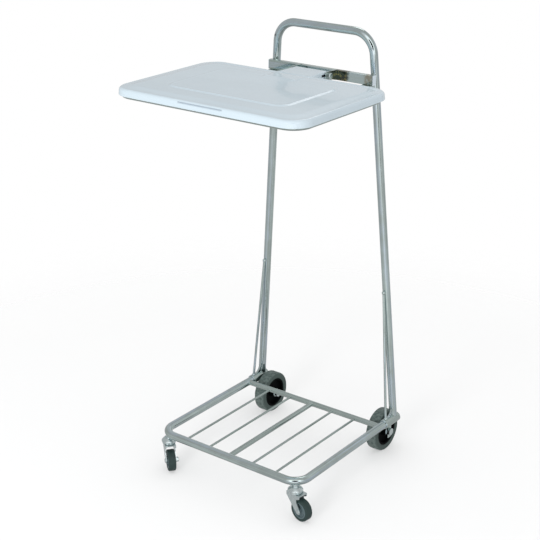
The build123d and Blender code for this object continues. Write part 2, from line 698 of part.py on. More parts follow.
for name, side in SIDES:
    centre = Vector(side * WHEEL_X, WHEEL_Y, WHEEL_R)
    axle_axis = Axis(centre, (side, 0, 0))
    plane = Plane(origin=centre, x_dir=(0, side, 0), z_dir=(0, 0, -1))
    rear_tyre = tyre(plane, axle_axis, WHEEL_R, HUB_R + WELD_GAP, WHEEL_WIDE, TREAD_ROUND)
    save(rear_tyre, "rear_tyre_" + name)
    rear_hub = hub(
        plane,
        axle_axis,
        HUB_R,
        WHEEL_WIDE - 2,
        HUB_RIM,
        HUB_WEB,
        BOSS_R,
        BOSS_LONG,
        AXLE_R + RUN_FIT,
    )
    save(rear_hub, "rear_hub_" + name)

    with BuildPart() as axle_plate:
        with BuildSketch(Plane.YZ.offset(side * PLATE_IN)):
            with Locations((WHEEL_Y, WHEEL_R - PLATE_BELOW)):
                Rectangle(
                    PLATE_WIDE,
                    PLATE_BELOW + PLATE_ABOVE,
                    align=(Align.CENTER, Align.MIN),
                )
            fillet(vertices().group_by(Axis.Y)[0], 3)
            with Locations((WHEEL_Y, WHEEL_R)):
                Circle(AXLE_R + WELD_GAP, mode=Mode.SUBTRACT)
        extrude(amount=side * PLATE_T)
        with BuildSketch(Plane.XZ.offset(-SLEEVE_Y)):
            with Locations((side * TRAY_X, TRAY_Z)):
                Circle(SLEEVE_R + WELD_GAP)
        extrude(amount=-SLEEVE_LENGTH, mode=Mode.SUBTRACT)
    save(axle_plate, "axle_plate_" + name)

    bolt_end = NUT_FACE - AXLE_NUT_HIGH - BOLT_TIP
    with BuildPart() as axle_bolt:
        with BuildSketch(Plane(origin=(side * bolt_end, WHEEL_Y, WHEEL_R), z_dir=(side, 0, 0))):
            Circle(AXLE_R)
        extrude(amount=PLATE_IN + PLATE_T - bolt_end + AXLE_HEX_HIGH / 2)
        with BuildSketch(
            Plane(origin=(side * (PLATE_IN + PLATE_T), WHEEL_Y, WHEEL_R), z_dir=(side, 0, 0))
        ):
            RegularPolygon(AXLE_HEX / 2, 6, major_radius=False)
        extrude(amount=AXLE_HEX_HIGH)
        outer_face = axle_bolt.faces().sort_by(Axis((0, 0, 0), (side, 0, 0)))[-1]
        chamfer(outer_face.edges(), 0.9)
    save(axle_bolt, "axle_bolt_" + name)

    nut_plane = Plane(origin=(side * NUT_FACE, WHEEL_Y, WHEEL_R), z_dir=(-side, 0, 0))
    axle_nut = hex_prism(nut_plane, AXLE_HEX, AXLE_NUT_HIGH, AXLE_R + WELD_GAP)
    save(axle_nut, "axle_nut_" + name)

    with BuildPart() as axle_washers:
        for face in (NUT_FACE, PLATE_IN - WASHER_T):
            with BuildSketch(Plane(origin=(side * face, WHEEL_Y, WHEEL_R), z_dir=(side, 0, 0))):
                Circle(WASHER_R)
                Circle(AXLE_R + WELD_GAP, mode=Mode.SUBTRACT)
            extrude(amount=WASHER_T)
    save(axle_washers, "axle_washers_" + name)

# Front casters: bush and stem in the tray's corner, cap, swivelling fork and small wheel
BUSH_BOTTOM = TRAY_Z - TUBE_R - BUSH_NECK
CAP_BOTTOM = BUSH_BOTTOM - CAP_CONE - CAP_SKIRT
CHANNEL = FORK_WIDE - 2 * FORK_T

for name, side in SIDES:
    heading = radians(HEADING[name])
    forward = (cos(heading), sin(heading), 0)
    stem = Vector(side * STEM_X, STEM_Y, 0)
    stem_axis = Axis(stem, (0, 0, 1))
    section = Plane(origin=stem, x_dir=forward, z_dir=(sin(heading), -cos(heading), 0))

    with BuildPart() as bush:
        with BuildSketch(Plane(origin=stem + Vector(0, 0, BUSH_BOTTOM), z_dir=(0, 0, 1))):
            Circle(BUSH_R)
            Circle(STEM_R + WELD_GAP, mode=Mode.SUBTRACT)
        extrude(amount=BUSH_NECK + TUBE_R + BUSH_REACH)
    save(bush, "caster_bush_" + name)

    with BuildPart() as caster_stem:
        with BuildSketch(section):
            with BuildLine():
                Polyline(
                    (0, CROWN_Z - PLAY - STEM_HEAD_T),
                    (STEM_HEAD_R - 1, CROWN_Z - PLAY - STEM_HEAD_T),
                    (STEM_HEAD_R, CROWN_Z - PLAY - STEM_HEAD_T + 1),
                    (STEM_HEAD_R, CROWN_Z - PLAY),
                    (STEM_R, CROWN_Z - PLAY),
                    (STEM_R, STEM_TOP),
                    (0, STEM_TOP),
                    close=True,
                )
            make_face()
        revolve(axis=stem_axis)
    save(caster_stem, "caster_stem_" + name)

    with BuildPart() as cap:
        with BuildSketch(section):
            with BuildLine():
                Polyline(
                    (STEM_R + WELD_GAP, BUSH_BOTTOM),
                    (CAP_TOP_R, BUSH_BOTTOM),
                    (CAP_R, BUSH_BOTTOM - CAP_CONE),
                    (CAP_R, CAP_BOTTOM),
                    (CAP_R - CAP_T, CAP_BOTTOM),
                    (CAP_R - CAP_T, BUSH_BOTTOM - CAP_CONE),
                    (CAP_TOP_R - 1, BUSH_BOTTOM - CAP_T),
                    (STEM_R + WELD_GAP, BUSH_BOTTOM - CAP_T),
                    close=True,
                )
            make_face()
        revolve(axis=stem_axis)
        rim_edges = cap.edges().filter_by(GeomType.CIRCLE).filter_by(lambda e: e.radius > CAP_R - 0.01)
        fillet(rim_edges, 0.7)
    save(cap, "caster_cap_" + name)

    with BuildPart() as fork:
        with BuildSketch(section):
            with BuildLine():
                eye = (TRAIL, CASTER_R)
                low = (TRAIL - FORK_EYE_R * cos(radians(50)), CASTER_R - FORK_EYE_R * sin(radians(50)))
                back = (TRAIL + FORK_EYE_R * cos(radians(10)), CASTER_R + FORK_EYE_R * sin(radians(10)))
                ThreePointArc(low, (TRAIL + 1, CASTER_R - FORK_EYE_R), back)
                Polyline(
                    back,
                    (TRAIL - 4, CASTER_R + 18),
                    (TRAIL - 6, CROWN_Z - 9),
                    (FORK_REAR, CROWN_Z - 5),
                    (FORK_REAR, CROWN_Z + CROWN_T),
                    (-RACE_R, CROWN_Z + CROWN_T),
                    (-RACE_R, CROWN_Z - 6),
                    low,
                )
            make_face()
        extrude(amount=FORK_WIDE / 2, both=True)
        with BuildSketch(Plane.XY.offset(CROWN_Z)):
            with Locations((stem.X, stem.Y)):
                Circle(RACE_R)
        extrude(amount=RACE_HIGH)
        with BuildSketch(section):
            with Locations((0, CROWN_Z)):
                Rectangle(8 * TRAIL, 2 * CROWN_Z, align=(Align.CENTER, Align.MAX))
        extrude(amount=CHANNEL / 2, both=True, mode=Mode.SUBTRACT)
        with BuildSketch(Plane.XY.offset(CROWN_Z - 1)):
            with Locations((stem.X, stem.Y)):
                Circle(STEM_R + RUN_FIT)
        extrude(amount=RACE_HIGH + 2, mode=Mode.SUBTRACT)
        with BuildSketch(section):
            with Locations(eye):
                Circle(CASTER_AXLE_R + WELD_GAP)
        extrude(amount=FORK_WIDE, both=True, mode=Mode.SUBTRACT)
    save(fork, "caster_fork_" + name)

    wheel_centre = stem + Vector(TRAIL * cos(heading), TRAIL * sin(heading), CASTER_R)
    axle = Vector(-sin(heading), cos(heading), 0)
    wheel_axis = Axis(wheel_centre, axle)
    wheel_plane = Plane(origin=wheel_centre, x_dir=forward, z_dir=(0, 0, 1))
    caster_tyre = tyre(
        wheel_plane,
        wheel_axis,
        CASTER_R,
        CASTER_HUB_R + WELD_GAP,
        CASTER_WIDE,
        CASTER_ROUND,
    )
    save(caster_tyre, "caster_tyre_" + name)
    caster_hub = hub(
        wheel_plane,
        wheel_axis,
        CASTER_HUB_R,
        CASTER_WIDE - 1.6,
        CASTER_HUB_RIM,
        CASTER_WEB,
        CASTER_BOSS_R,
        CASTER_BOSS_LONG,
        CASTER_AXLE_R + RUN_FIT,
    )
    save(caster_hub, "caster_hub_" + name)

    # Axle bolt from the outer side of the fork, with its nut on the other
    near = wheel_centre - axle * (FORK_WIDE / 2)
    far = wheel_centre + axle * (FORK_WIDE / 2)
    with BuildPart() as caster_axle:
        with BuildSketch(Plane(origin=near - axle * 2.2, z_dir=axle)):
            Circle(5)
        extrude(amount=2.2)
        fillet(caster_axle.faces().sort_by(Axis(wheel_centre, axle))[0].edges(), 1.2)
        with BuildSketch(Plane(origin=near, z_dir=axle)):
            Circle(CASTER_AXLE_R)
        extrude(amount=FORK_WIDE + 6)
    save(caster_axle, "caster_axle_" + name)

    caster_nut = hex_prism(Plane(origin=far, z_dir=axle), 10, 5, CASTER_AXLE_R + WELD_GAP)
    save(caster_nut, "caster_nut_" + name)
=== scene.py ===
import json
import logging
import math
from dataclasses import dataclass, field
from enum import Enum
from typing import Callable, Iterable, Sequence

import bpy
from mathutils import Matrix, Vector


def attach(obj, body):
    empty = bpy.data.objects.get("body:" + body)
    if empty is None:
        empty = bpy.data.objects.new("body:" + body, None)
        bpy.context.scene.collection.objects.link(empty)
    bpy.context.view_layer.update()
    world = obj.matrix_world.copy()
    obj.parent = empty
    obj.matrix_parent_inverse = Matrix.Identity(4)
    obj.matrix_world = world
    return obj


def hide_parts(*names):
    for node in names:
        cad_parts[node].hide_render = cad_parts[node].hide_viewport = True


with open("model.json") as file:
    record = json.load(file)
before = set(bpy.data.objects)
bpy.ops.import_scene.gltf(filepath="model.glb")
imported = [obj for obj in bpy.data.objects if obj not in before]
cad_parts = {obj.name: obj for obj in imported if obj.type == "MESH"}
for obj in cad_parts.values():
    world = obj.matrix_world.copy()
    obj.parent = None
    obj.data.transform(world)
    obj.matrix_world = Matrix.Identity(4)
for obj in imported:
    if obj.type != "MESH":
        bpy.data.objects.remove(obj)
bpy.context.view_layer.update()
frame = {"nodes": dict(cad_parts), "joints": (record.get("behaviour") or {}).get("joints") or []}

LOG = logging.getLogger("bag_stand")

Pair = tuple[float, float]
Triple = tuple[float, float, float]
X_AXIS = Vector((1, 0, 0))
Y_AXIS = Vector((0, 1, 0))
Z_AXIS = Vector((0, 0, 1))
SIDES = (("left", -1), ("right", 1))
GRAIN = "grain"
MM = 0.001


class Slot(Enum):
    """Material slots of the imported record, one for each finish of the stand."""

    CHROME = "chrome_tube"
    ZINC = "zinc_steel"
    LID = "lid_plastic"
    PLUG = "plug_plastic"
    TYRE = "tyre_rubber"
    HUB = "hub_black"
    CASTER_TYRE = "caster_rubber"
    CASTER_HUB = "caster_hub_plastic"


class Grain(Enum):
    """Where a finish takes its coordinates from."""

    MADE = "made"  # the attribute that a Skin writes: round, round, along
    SOLID = "solid"  # the object's own coordinates


class Field:
    """A number that varies over a surface. Its operators add Math nodes."""

    def __init__(self, surface: "Surface", socket: bpy.types.NodeSocket) -> None:
        """Wrap a socket of a surface's node tree."""
        self.surface = surface
        self.socket = socket

    def _math(self, operation: str, first: object, second: object) -> "Field":
        """Add one Math node.

        Args:
            operation: the Math node's operation.
            first: its first value or field.
            second: its second value or field.

        Returns:
            The node's result.
        """
        node = self.surface.node(
            "ShaderNodeMath", {"operation": operation}, {0: first, 1: second}
        )
        return Field(self.surface, node.outputs[0])

    def __add__(self, other: object) -> "Field":
        """This plus a value or a field."""
        return self._math("ADD", self, other)

    def __radd__(self, other: object) -> "Field":
        """A value plus this."""
        return self._math("ADD", other, self)

    def __sub__(self, other: object) -> "Field":
        """This minus a value or a field."""
        return self._math("SUBTRACT", self, other)

    def __rsub__(self, other: object) -> "Field":
        """A value minus this."""
        return self._math("SUBTRACT", other, self)

    def __mul__(self, other: object) -> "Field":
        """This times a value or a field."""
        return self._math("MULTIPLY", self, other)

    def __rmul__(self, other: object) -> "Field":
        """A value times this."""
        return self._math("MULTIPLY", other, self)

    def __pow__(self, other: object) -> "Field":
        """This to a power."""
        return self._math("POWER", self, other)

    def __abs__(self) -> "Field":
        """This without its sign."""
        return self._math("ABSOLUTE", self, 0.0)

    def rise(self, low: float, high: float) -> "Field":
        """A smooth step from 0 below a value to 1 above another.

        Args:
            low: where the step starts.
            high: where it ends.

        Returns:
            The stepped field, from 0 to 1.
        """
        node = self.surface.node(
            "ShaderNodeMapRange",
            {"interpolation_type": "SMOOTHSTEP"},
            {"Value": self, "From Min": low, "From Max": high},
        )
        return Field(self.surface, node.outputs[0])


class Surface:
    """A node tree with methods that add its nodes."""

    def __init__(self, tree: bpy.types.NodeTree) -> None:
        """Start from an emptied tree."""
        self.tree = tree
        self.tree.nodes.clear()

    def node(
        self,
        kind: str,
        settings: dict[str, object] | None = None,
        sockets: dict[int | str, object] | None = None,
    ) -> bpy.types.Node:
        """Add a node, its settings first and then its sockets.

        Args:
            kind: the node's type.
            settings: attributes of the node. "stops" holds a ramp's (place, colour) pairs.
            sockets: values, fields or sockets by the input's name or place.

        Returns:
            The node.
        """
        node = self.tree.nodes.new(kind)
        for key, value in (settings or {}).items():
            if key == "stops":
                for place, colour in value[1:-1]:
                    node.color_ramp.elements.new(place).color = (*colour, 1)
                for element, (place, colour) in zip(
                    (node.color_ramp.elements[0], node.color_ramp.elements[-1]),
                    (value[0], value[-1]),
                ):
                    element.position = place
                    element.color = (*colour, 1)
            else:
                setattr(node, key, value)
        for key, value in (sockets or {}).items():
            socket = node.inputs[key]
            if isinstance(value, Field):
                self.tree.links.new(value.socket, socket)
            elif isinstance(value, bpy.types.NodeSocket):
                self.tree.links.new(value, socket)
            elif isinstance(value, tuple) and len(value) == 3 and socket.type == "RGBA":
                socket.default_value = (*value, 1)
            else:
                socket.default_value = value
        return node

    def place(self, grain: Grain, stretch: Triple) -> bpy.types.NodeSocket:
        """Coordinates on the piece, in metres, stretched per axis.

        Args:
            grain: which coordinates to read.
            stretch: factors along the three axes.

        Returns:
            The stretched vector.
        """
        if grain is Grain.MADE:
            source = self.node(
                "ShaderNodeAttribute", {"attribute_type": "GEOMETRY", "attribute_name": GRAIN}
            ).outputs["Vector"]
        else:
            source = self.node("ShaderNodeTexCoord").outputs["Object"]
        return self.node(
            "ShaderNodeVectorMath", {"operation": "MULTIPLY"}, {0: source, 1: stretch}
        ).outputs[0]

    def even(self, grain: Grain) -> bpy.types.NodeSocket:
        """Coordinates on the piece, in metres, as they are."""
        return self.place(grain, (1.0, 1.0, 1.0))

    def noise(
        self, where: bpy.types.NodeSocket, scale: float, detail: float = 3.0, rough: float = 0.55
    ) -> Field:
        """Cloudy noise around one half.

        Args:
            where: the coordinates.
            scale: its scale.
            detail: its octaves.
            rough: how much the finer octaves count.

        Returns:
            The noise.
        """
        node = self.node(
            "ShaderNodeTexNoise",
            {"noise_dimensions": "3D"},
            {"Vector": where, "Scale": scale, "Detail": detail, "Roughness": rough},
        )
        return Field(self, node.outputs[0])

    def axis(self, where: bpy.types.NodeSocket, name: str) -> Field:
        """One coordinate of a vector, X, Y or Z."""
        node = self.node("ShaderNodeSeparateXYZ", None, {0: where})
        return Field(self, node.outputs[name])

    def off_axis(self, where: bpy.types.NodeSocket) -> Field:
        """Distance of a place from the Z axis."""
        across, up = self.axis(where, "X"), self.axis(where, "Y")
        return (across * across + up * up) ** 0.5

    def blend(self, share: object, low: object, high: object) -> bpy.types.NodeSocket:
        """Mix two colours.

        Args:
            share: 0 for the first, 1 for the second.
            low: the first colour or link.
            high: the second colour or link.

        Returns:
            The mixed colour.
        """
        node = self.node(
            "ShaderNodeMix", {"data_type": "RGBA"}, {"Factor": share, "A": (0, 0, 0), "B": (0, 0, 0)}
        )
        for socket, value in ((node.inputs[6], low), (node.inputs[7], high)):
            if isinstance(value, bpy.types.NodeSocket):
                self.tree.links.new(value, socket)
            else:
                socket.default_value = (*value, 1)
        return node.outputs[2]

    def bump(self, height: Field, depth: float) -> bpy.types.NodeSocket:
        """Turn a height from 0 to 1 into a normal.

        Args:
            height: the relief.
            depth: what a height of 1 stands for, in metres.

        Returns:
            The normal.
        """
        return self.node(
            "ShaderNodeBump", None, {"Strength": 1.0, "Distance": depth, "Height": height}
        ).outputs[0]


@dataclass(frozen=True)
class Finish:
    """What a surface looks like. Each kind of finish draws its own nodes."""

    slot: Slot
    tint: Triple
    roughness: float

    def draw(self, surface: Surface, grain: Grain) -> dict[str, object]:
        """Add the nodes of the finish.

        Args:
            surface: the tree to add them to.
            grain: which coordinates the piece has.

        Returns:
            What goes to the shader's sockets, by name.
        """
        raise NotImplementedError

    def way(self) -> str:
        """The axis of the finish's streaks, for its name."""
        return "even"

    def material(self, grain: Grain) -> bpy.types.Material:
        """The finish as a material, made once for each kind of coordinates."""
        name = f"{self.slot.value}_{type(self).__name__.lower()}_{grain.value}_{self.way()}"
        found = bpy.data.materials.get(name)
        if found:
            return found
        material = bpy.data.materials.new(name)
        material.use_nodes = True
        surface = Surface(material.node_tree)
        sockets = self.draw(surface, grain)
        shader = surface.node("ShaderNodeBsdfPrincipled", None, sockets)
        surface.node("ShaderNodeOutputMaterial", None, {"Surface": shader.outputs[0]})
        return material


class Along(Enum):
    """The axis that a drawn piece runs along, for the streaks of its finish."""

    X = 0
    Y = 1
    Z = 2

    def stretch(self, across: float, along: float) -> Triple:
        """Factors for coordinates that change fast across the piece and slowly along it."""
        return tuple(along if axis == self.value else across for axis in range(3))


@dataclass(frozen=True)
class ChromePlate(Finish):
    """Bright plate on drawn tube: faint lengthwise streaks of haze and painted dark reflection, a cold
    cast of painted bluish reflection and fine scratches.
    """

    shade: Triple = (0.50, 0.575, 0.56)
    cast: Triple = (0.60, 0.695, 0.775)
    along: Along = Along.Z

    def way(self) -> str:
        """The axis of the finish's streaks, for its name."""
        return self.along.name.lower()

    def draw(self, surface: Surface, grain: Grain) -> dict[str, object]:
        """Add the nodes of the finish. See Finish.draw."""
        even = surface.even(grain)
        streaks = surface.noise(surface.place(grain, self.along.stretch(240.0, 5.0)), 1.0, 3.0)
        haze = surface.noise(even, 22.0, 4.0, 0.6)
        specks = surface.noise(even, 700.0, 2.0).rise(0.72, 0.80)
        scratches = surface.noise(surface.place(grain, self.along.stretch(2400.0, 50.0)), 1.0, 2.0)
        # Painted reflection: the darker lengthwise streaks stand in for dark things mirrored in the
        # chrome, mixed with real haze.
        haze_and_painted_streaks = (streaks * 0.6 + haze * 0.4).rise(0.36, 0.62)
        # Painted reflection: the cold cast stands in for the bluish light that the chrome mirrors from
        # above.
        painted_blue_reflection = surface.noise(surface.place(grain, self.along.stretch(150.0, 3.5)), 1.0, 2.0)
        bright = surface.blend(painted_blue_reflection.rise(0.44, 0.58), self.tint, self.cast)
        colour = surface.blend(haze_and_painted_streaks, self.shade, bright)
        return {
            "Base Color": surface.blend(specks * 0.35, colour, (0.30, 0.35, 0.33)),
            "Metallic": 1.0,
            "Roughness": self.roughness + haze.rise(0.4, 0.75) * 0.08 + specks * 0.1,
            "Normal": surface.bump(scratches, 0.0000004),
        }


@dataclass(frozen=True)
class StainedBar(ChromePlate):
    """The hinge bar's plate: scorched brown by the right ear and end, pale between them."""

    stain: Triple = (0.045, 0.055, 0.04)
    ochre: Triple = (0.27, 0.23, 0.09)
    pale: Triple = (0.60, 0.72, 0.72)
    ear_x: float = 0.050
    end_x: float = 0.132
    reach: float = 0.022

    def draw(self, surface: Surface, grain: Grain) -> dict[str, object]:
        """Add the nodes of the finish. See Finish.draw."""
        sockets = super().draw(surface, grain)
        even = surface.even(Grain.SOLID)
        cloud = surface.noise(even, 120.0, 5.0, 0.7)
        across = surface.axis(even, "X") + (cloud - 0.5) * 0.02
        near_ear = (1 - abs(across - self.ear_x - 0.008).rise(0.6 * self.reach, self.reach))
        near_end = (1 - abs(across - self.end_x + 0.004).rise(0.2 * self.reach, 0.7 * self.reach))
        between = across.rise(self.ear_x + 0.010, self.ear_x + 0.020)
        edge = surface.axis(even, "X").rise(self.end_x + 0.0042, self.end_x + 0.0050)
        light = surface.blend(between * 0.8, sockets["Base Color"], self.pale)
        burnt = surface.blend(cloud.rise(0.50, 0.60), self.stain, self.ochre)
        brown = surface.blend(near_ear * 0.95, light, burnt)
        tan = surface.blend(near_end * cloud.rise(0.35, 0.5) * 0.8, brown, (0.36, 0.33, 0.24))
        sockets["Base Color"] = surface.blend(edge * 0.9, tan, (0.02, 0.022, 0.02))
        return sockets


@dataclass(frozen=True)
class ZincPlate(Finish):
    """Pressed or turned steel with bright zinc: soft clouds and a fine satin grain."""

    shade: Triple = (0.66, 0.74, 0.75)

    def draw(self, surface: Surface, grain: Grain) -> dict[str, object]:
        """Add the nodes of the finish. See Finish.draw."""
        even = surface.even(grain)
        clouds = surface.noise(even, 120.0, 4.0, 0.6)
        satin = surface.noise(even, 2200.0, 2.0)
        return {
            "Base Color": surface.blend(clouds.rise(0.38, 0.64), self.shade, self.tint),
            "Metallic": 1.0,
            "Roughness": self.roughness + clouds * 0.10,
            "Normal": surface.bump(satin * 0.7 + clouds * 0.3, 0.000004),
        }


@dataclass(frozen=True)
class GlossMoulding(Finish):
    """Moulded plastic with a soft gloss, slight ripple, faint flow marks and rubbed patches."""

    shade: Triple = (0.575, 0.675, 0.74)

    def draw(self, surface: Surface, grain: Grain) -> dict[str, object]:
        """Add the nodes of the finish. See Finish.draw."""
        even = surface.even(Grain.SOLID)
        flow = surface.noise(surface.place(Grain.SOLID, (4.0, 9.0, 9.0)), 1.0, 2.0)
        rubbed = surface.noise(even, 30.0, 5.0, 0.65)
        peel = surface.noise(even, 260.0, 2.0)
        hairs = surface.noise(surface.place(Grain.SOLID, (60.0, 1500.0, 900.0)), 1.0, 1.0)
        return {
            "Base Color": surface.blend(flow.rise(0.35, 0.65), self.shade, self.tint),
            "Metallic": 0.0,
            "Roughness": self.roughness + rubbed.rise(0.42, 0.7) * 0.06 + hairs.rise(0.7, 0.8) * 0.04,
            "Coat Weight": 0.4,
            "Coat Roughness": 0.03,
            "Normal": surface.bump(peel * 0.3 + flow * 0.7, 0.00002),
        }


@dataclass(frozen=True)
class LidMoulding(GlossMoulding):
    """The lid's plastic, with painted shade in the grip under its upper lip."""

    grime: Triple = (0.40, 0.465, 0.53)
    grip_half: float = 0.0555
    grip_low: float = 0.8946
    grip_top: float = 0.8978
    face_y: float = -0.244

    def draw(self, surface: Surface, grain: Grain) -> dict[str, object]:
        """Add the nodes of the finish. See Finish.draw."""
        sockets = super().draw(surface, grain)
        even = surface.even(Grain.SOLID)
        wavy = (surface.noise(even, 60.0) - 0.5) * 0.0010
        height = surface.axis(even, "Z") + wavy
        high = height.rise(self.grip_low, self.grip_top - 0.0008)
        under = 1 - height.rise(self.grip_top, self.grip_top + 0.0006)
        ends = 1 - abs(surface.axis(even, "X")).rise(self.grip_half, self.grip_half + 0.0015)
        front = 1 - surface.axis(even, "Y").rise(self.face_y, self.face_y + 0.002)
        # Painted shade: a bluish-grey band darkens the grip recess under its upper lip, where shade
        # falls.
        share = high * under * ends * front
        sockets["Base Color"] = surface.blend(share, sockets["Base Color"], self.grime)
        return sockets


@dataclass(frozen=True)
class Rubber(Finish):
    """Tyre rubber: dusty tread, fine pores and faint bands round the wheel."""

    dust: Triple = (0.16, 0.20, 0.19)
    tread_r: float = 0.05

    def draw(self, surface: Surface, grain: Grain) -> dict[str, object]:
        """Add the nodes of the finish. See Finish.draw."""
        even = surface.even(grain)
        clouds = surface.noise(even, 150.0, 4.0, 0.65)
        pores = surface.noise(even, 1500.0, 3.0)
        tread = surface.off_axis(even).rise(self.tread_r * 0.90, self.tread_r)
        dusty = tread * clouds.rise(0.35, 0.65) * 0.7
        return {
            "Base Color": surface.blend(dusty, self.tint, self.dust),
            "Metallic": 0.0,
            "Roughness": self.roughness + clouds * 0.15,
            "Normal": surface.bump(pores * 0.6 + clouds * 0.4, 0.00006),
        }


@dataclass(frozen=True)
class SatinMoulding(Finish):
    """Moulded nylon with a fine spark texture and slightly greyer rubbed spots."""

    rubbed: Triple = (0.05, 0.05, 0.052)
    glint: float = 0.5

    def draw(self, surface: Surface, grain: Grain) -> dict[str, object]:
        """Add the nodes of the finish. See Finish.draw."""
        even = surface.even(grain)
        clouds = surface.noise(even, 170.0, 4.0, 0.6)
        spark = surface.noise(even, 1900.0, 2.0)
        return {
            "Base Color": surface.blend(clouds.rise(0.45, 0.75) * 0.6, self.tint, self.rubbed),
            "Metallic": 0.0,
            "Specular IOR Level": self.glint,
            "Roughness": self.roughness + clouds * 0.12,
            "Normal": surface.bump(spark, 0.00002),
        }


PLATED = (0.63, 0.735, 0.72)
DULL_CAST, DULL_SHADE = (0.55, 0.63, 0.62), (0.47, 0.545, 0.525)
CHROME = ChromePlate(Slot.CHROME, PLATED, 0.09)
CHROME_X = ChromePlate(Slot.CHROME, (0.52, 0.61, 0.585), 0.11, DULL_SHADE, DULL_CAST, Along.X)
CHROME_Y = ChromePlate(Slot.CHROME, (0.52, 0.61, 0.585), 0.11, DULL_SHADE, DULL_CAST, Along.Y)
BAR_CHROME = StainedBar(Slot.CHROME, (0.50, 0.60, 0.56), 0.10, along=Along.X)
BRACKET_CHROME = ChromePlate(
    Slot.CHROME, (0.34, 0.43, 0.43), 0.10, (0.22, 0.30, 0.30), (0.30, 0.39, 0.41), Along.Y
)
ZINC = ZincPlate(Slot.ZINC, (0.74, 0.82, 0.83), 0.20)
BOLT_STEEL = ZincPlate(Slot.ZINC, (0.36, 0.42, 0.43), 0.30, (0.26, 0.31, 0.32))
DARK_STEEL = ZincPlate(Slot.ZINC, (0.045, 0.056, 0.056), 0.26, (0.03, 0.038, 0.038))
LID_PLASTIC = LidMoulding(Slot.LID, (0.595, 0.695, 0.76), 0.2)
PLUG_PLASTIC = GlossMoulding(Slot.PLUG, (0.66, 0.74, 0.80), 0.3)
TYRE_RUBBER = Rubber(Slot.TYRE, (0.052, 0.080, 0.073), 0.55)
HUB_NYLON = SatinMoulding(Slot.HUB, (0.002, 0.0025, 0.003), 0.5, (0.006, 0.007, 0.007), 0.04)
CASTER_RUBBER = Rubber(Slot.CASTER_TYRE, (0.014, 0.034, 0.032), 0.45, (0.024, 0.048, 0.046), 0.025)
CASTER_NYLON = SatinMoulding(Slot.CASTER_HUB, (0.085, 0.125, 0.135), 0.35, (0.15, 0.20, 0.22))


@dataclass
class Route:
    """A line of points with the direction that stays square to it."""

    points: list[Vector]
    normal: Vector
    closed: bool = False

    @classmethod
    def rounded(
        cls, corners: Sequence[Vector], bend: float, normal: Vector, closed: bool = False
    ) -> "Route":
        """Join corners by straight runs and round each with an arc.

        Args:
            corners: the corner points, all in one plane.
            bend: the arcs' radius.
            normal: the plane's normal.
            closed: whether the last corner joins the first.

        Returns:
            The route.
        """
        arc_steps = 20
        run_step = 0.03
        count = len(corners)
        points: list[Vector] = []
        for index, corner in enumerate(corners):
            if not closed and index in (0, count - 1):
                points.append(corner.copy())
                continue
            back = (corners[index - 1] - corner).normalized()
            ahead = (corners[(index + 1) % count] - corner).normalized()
            half = back.angle(ahead) / 2
            centre = corner + (back + ahead).normalized() * (bend / math.sin(half))
            first = corner + back * (bend / math.tan(half)) - centre
            last = corner + ahead * (bend / math.tan(half)) - centre
            turn = math.pi - 2 * half
            way = 1 if first.cross(last).dot(normal) > 0 else -1
            for step in range(arc_steps + 1):
                spin = Matrix.Rotation(way * turn * step / arc_steps, 3, normal)
                points.append(centre + spin @ first)
        line: list[Vector] = []
        pairs = list(zip(points, points[1:] + (points[:1] if closed else [])))
        for a, b in pairs:
            parts = max(1, int((b - a).length / run_step))
            line.extend(a.lerp(b, k / parts) for k in range(parts))
        if not closed:
            line.append(points[-1])
        return cls(line, normal, closed)

    def stations(self) -> Iterable[tuple[Vector, Vector, float]]:
        """Each point with its direction and its distance along the line.

        Yields:
            Point, unit direction, distance from the start.
        """
        count = len(self.points)
        travelled = 0.0
        for index, point in enumerate(self.points):
            if self.closed:
                before, after = self.points[index - 1], self.points[(index + 1) % count]
            else:
                before = self.points[max(index - 1, 0)]
                after = self.points[min(index + 1, count - 1)]
            if index:
                travelled += (point - self.points[index - 1]).length
            yield point, (after - before).normalized(), travelled


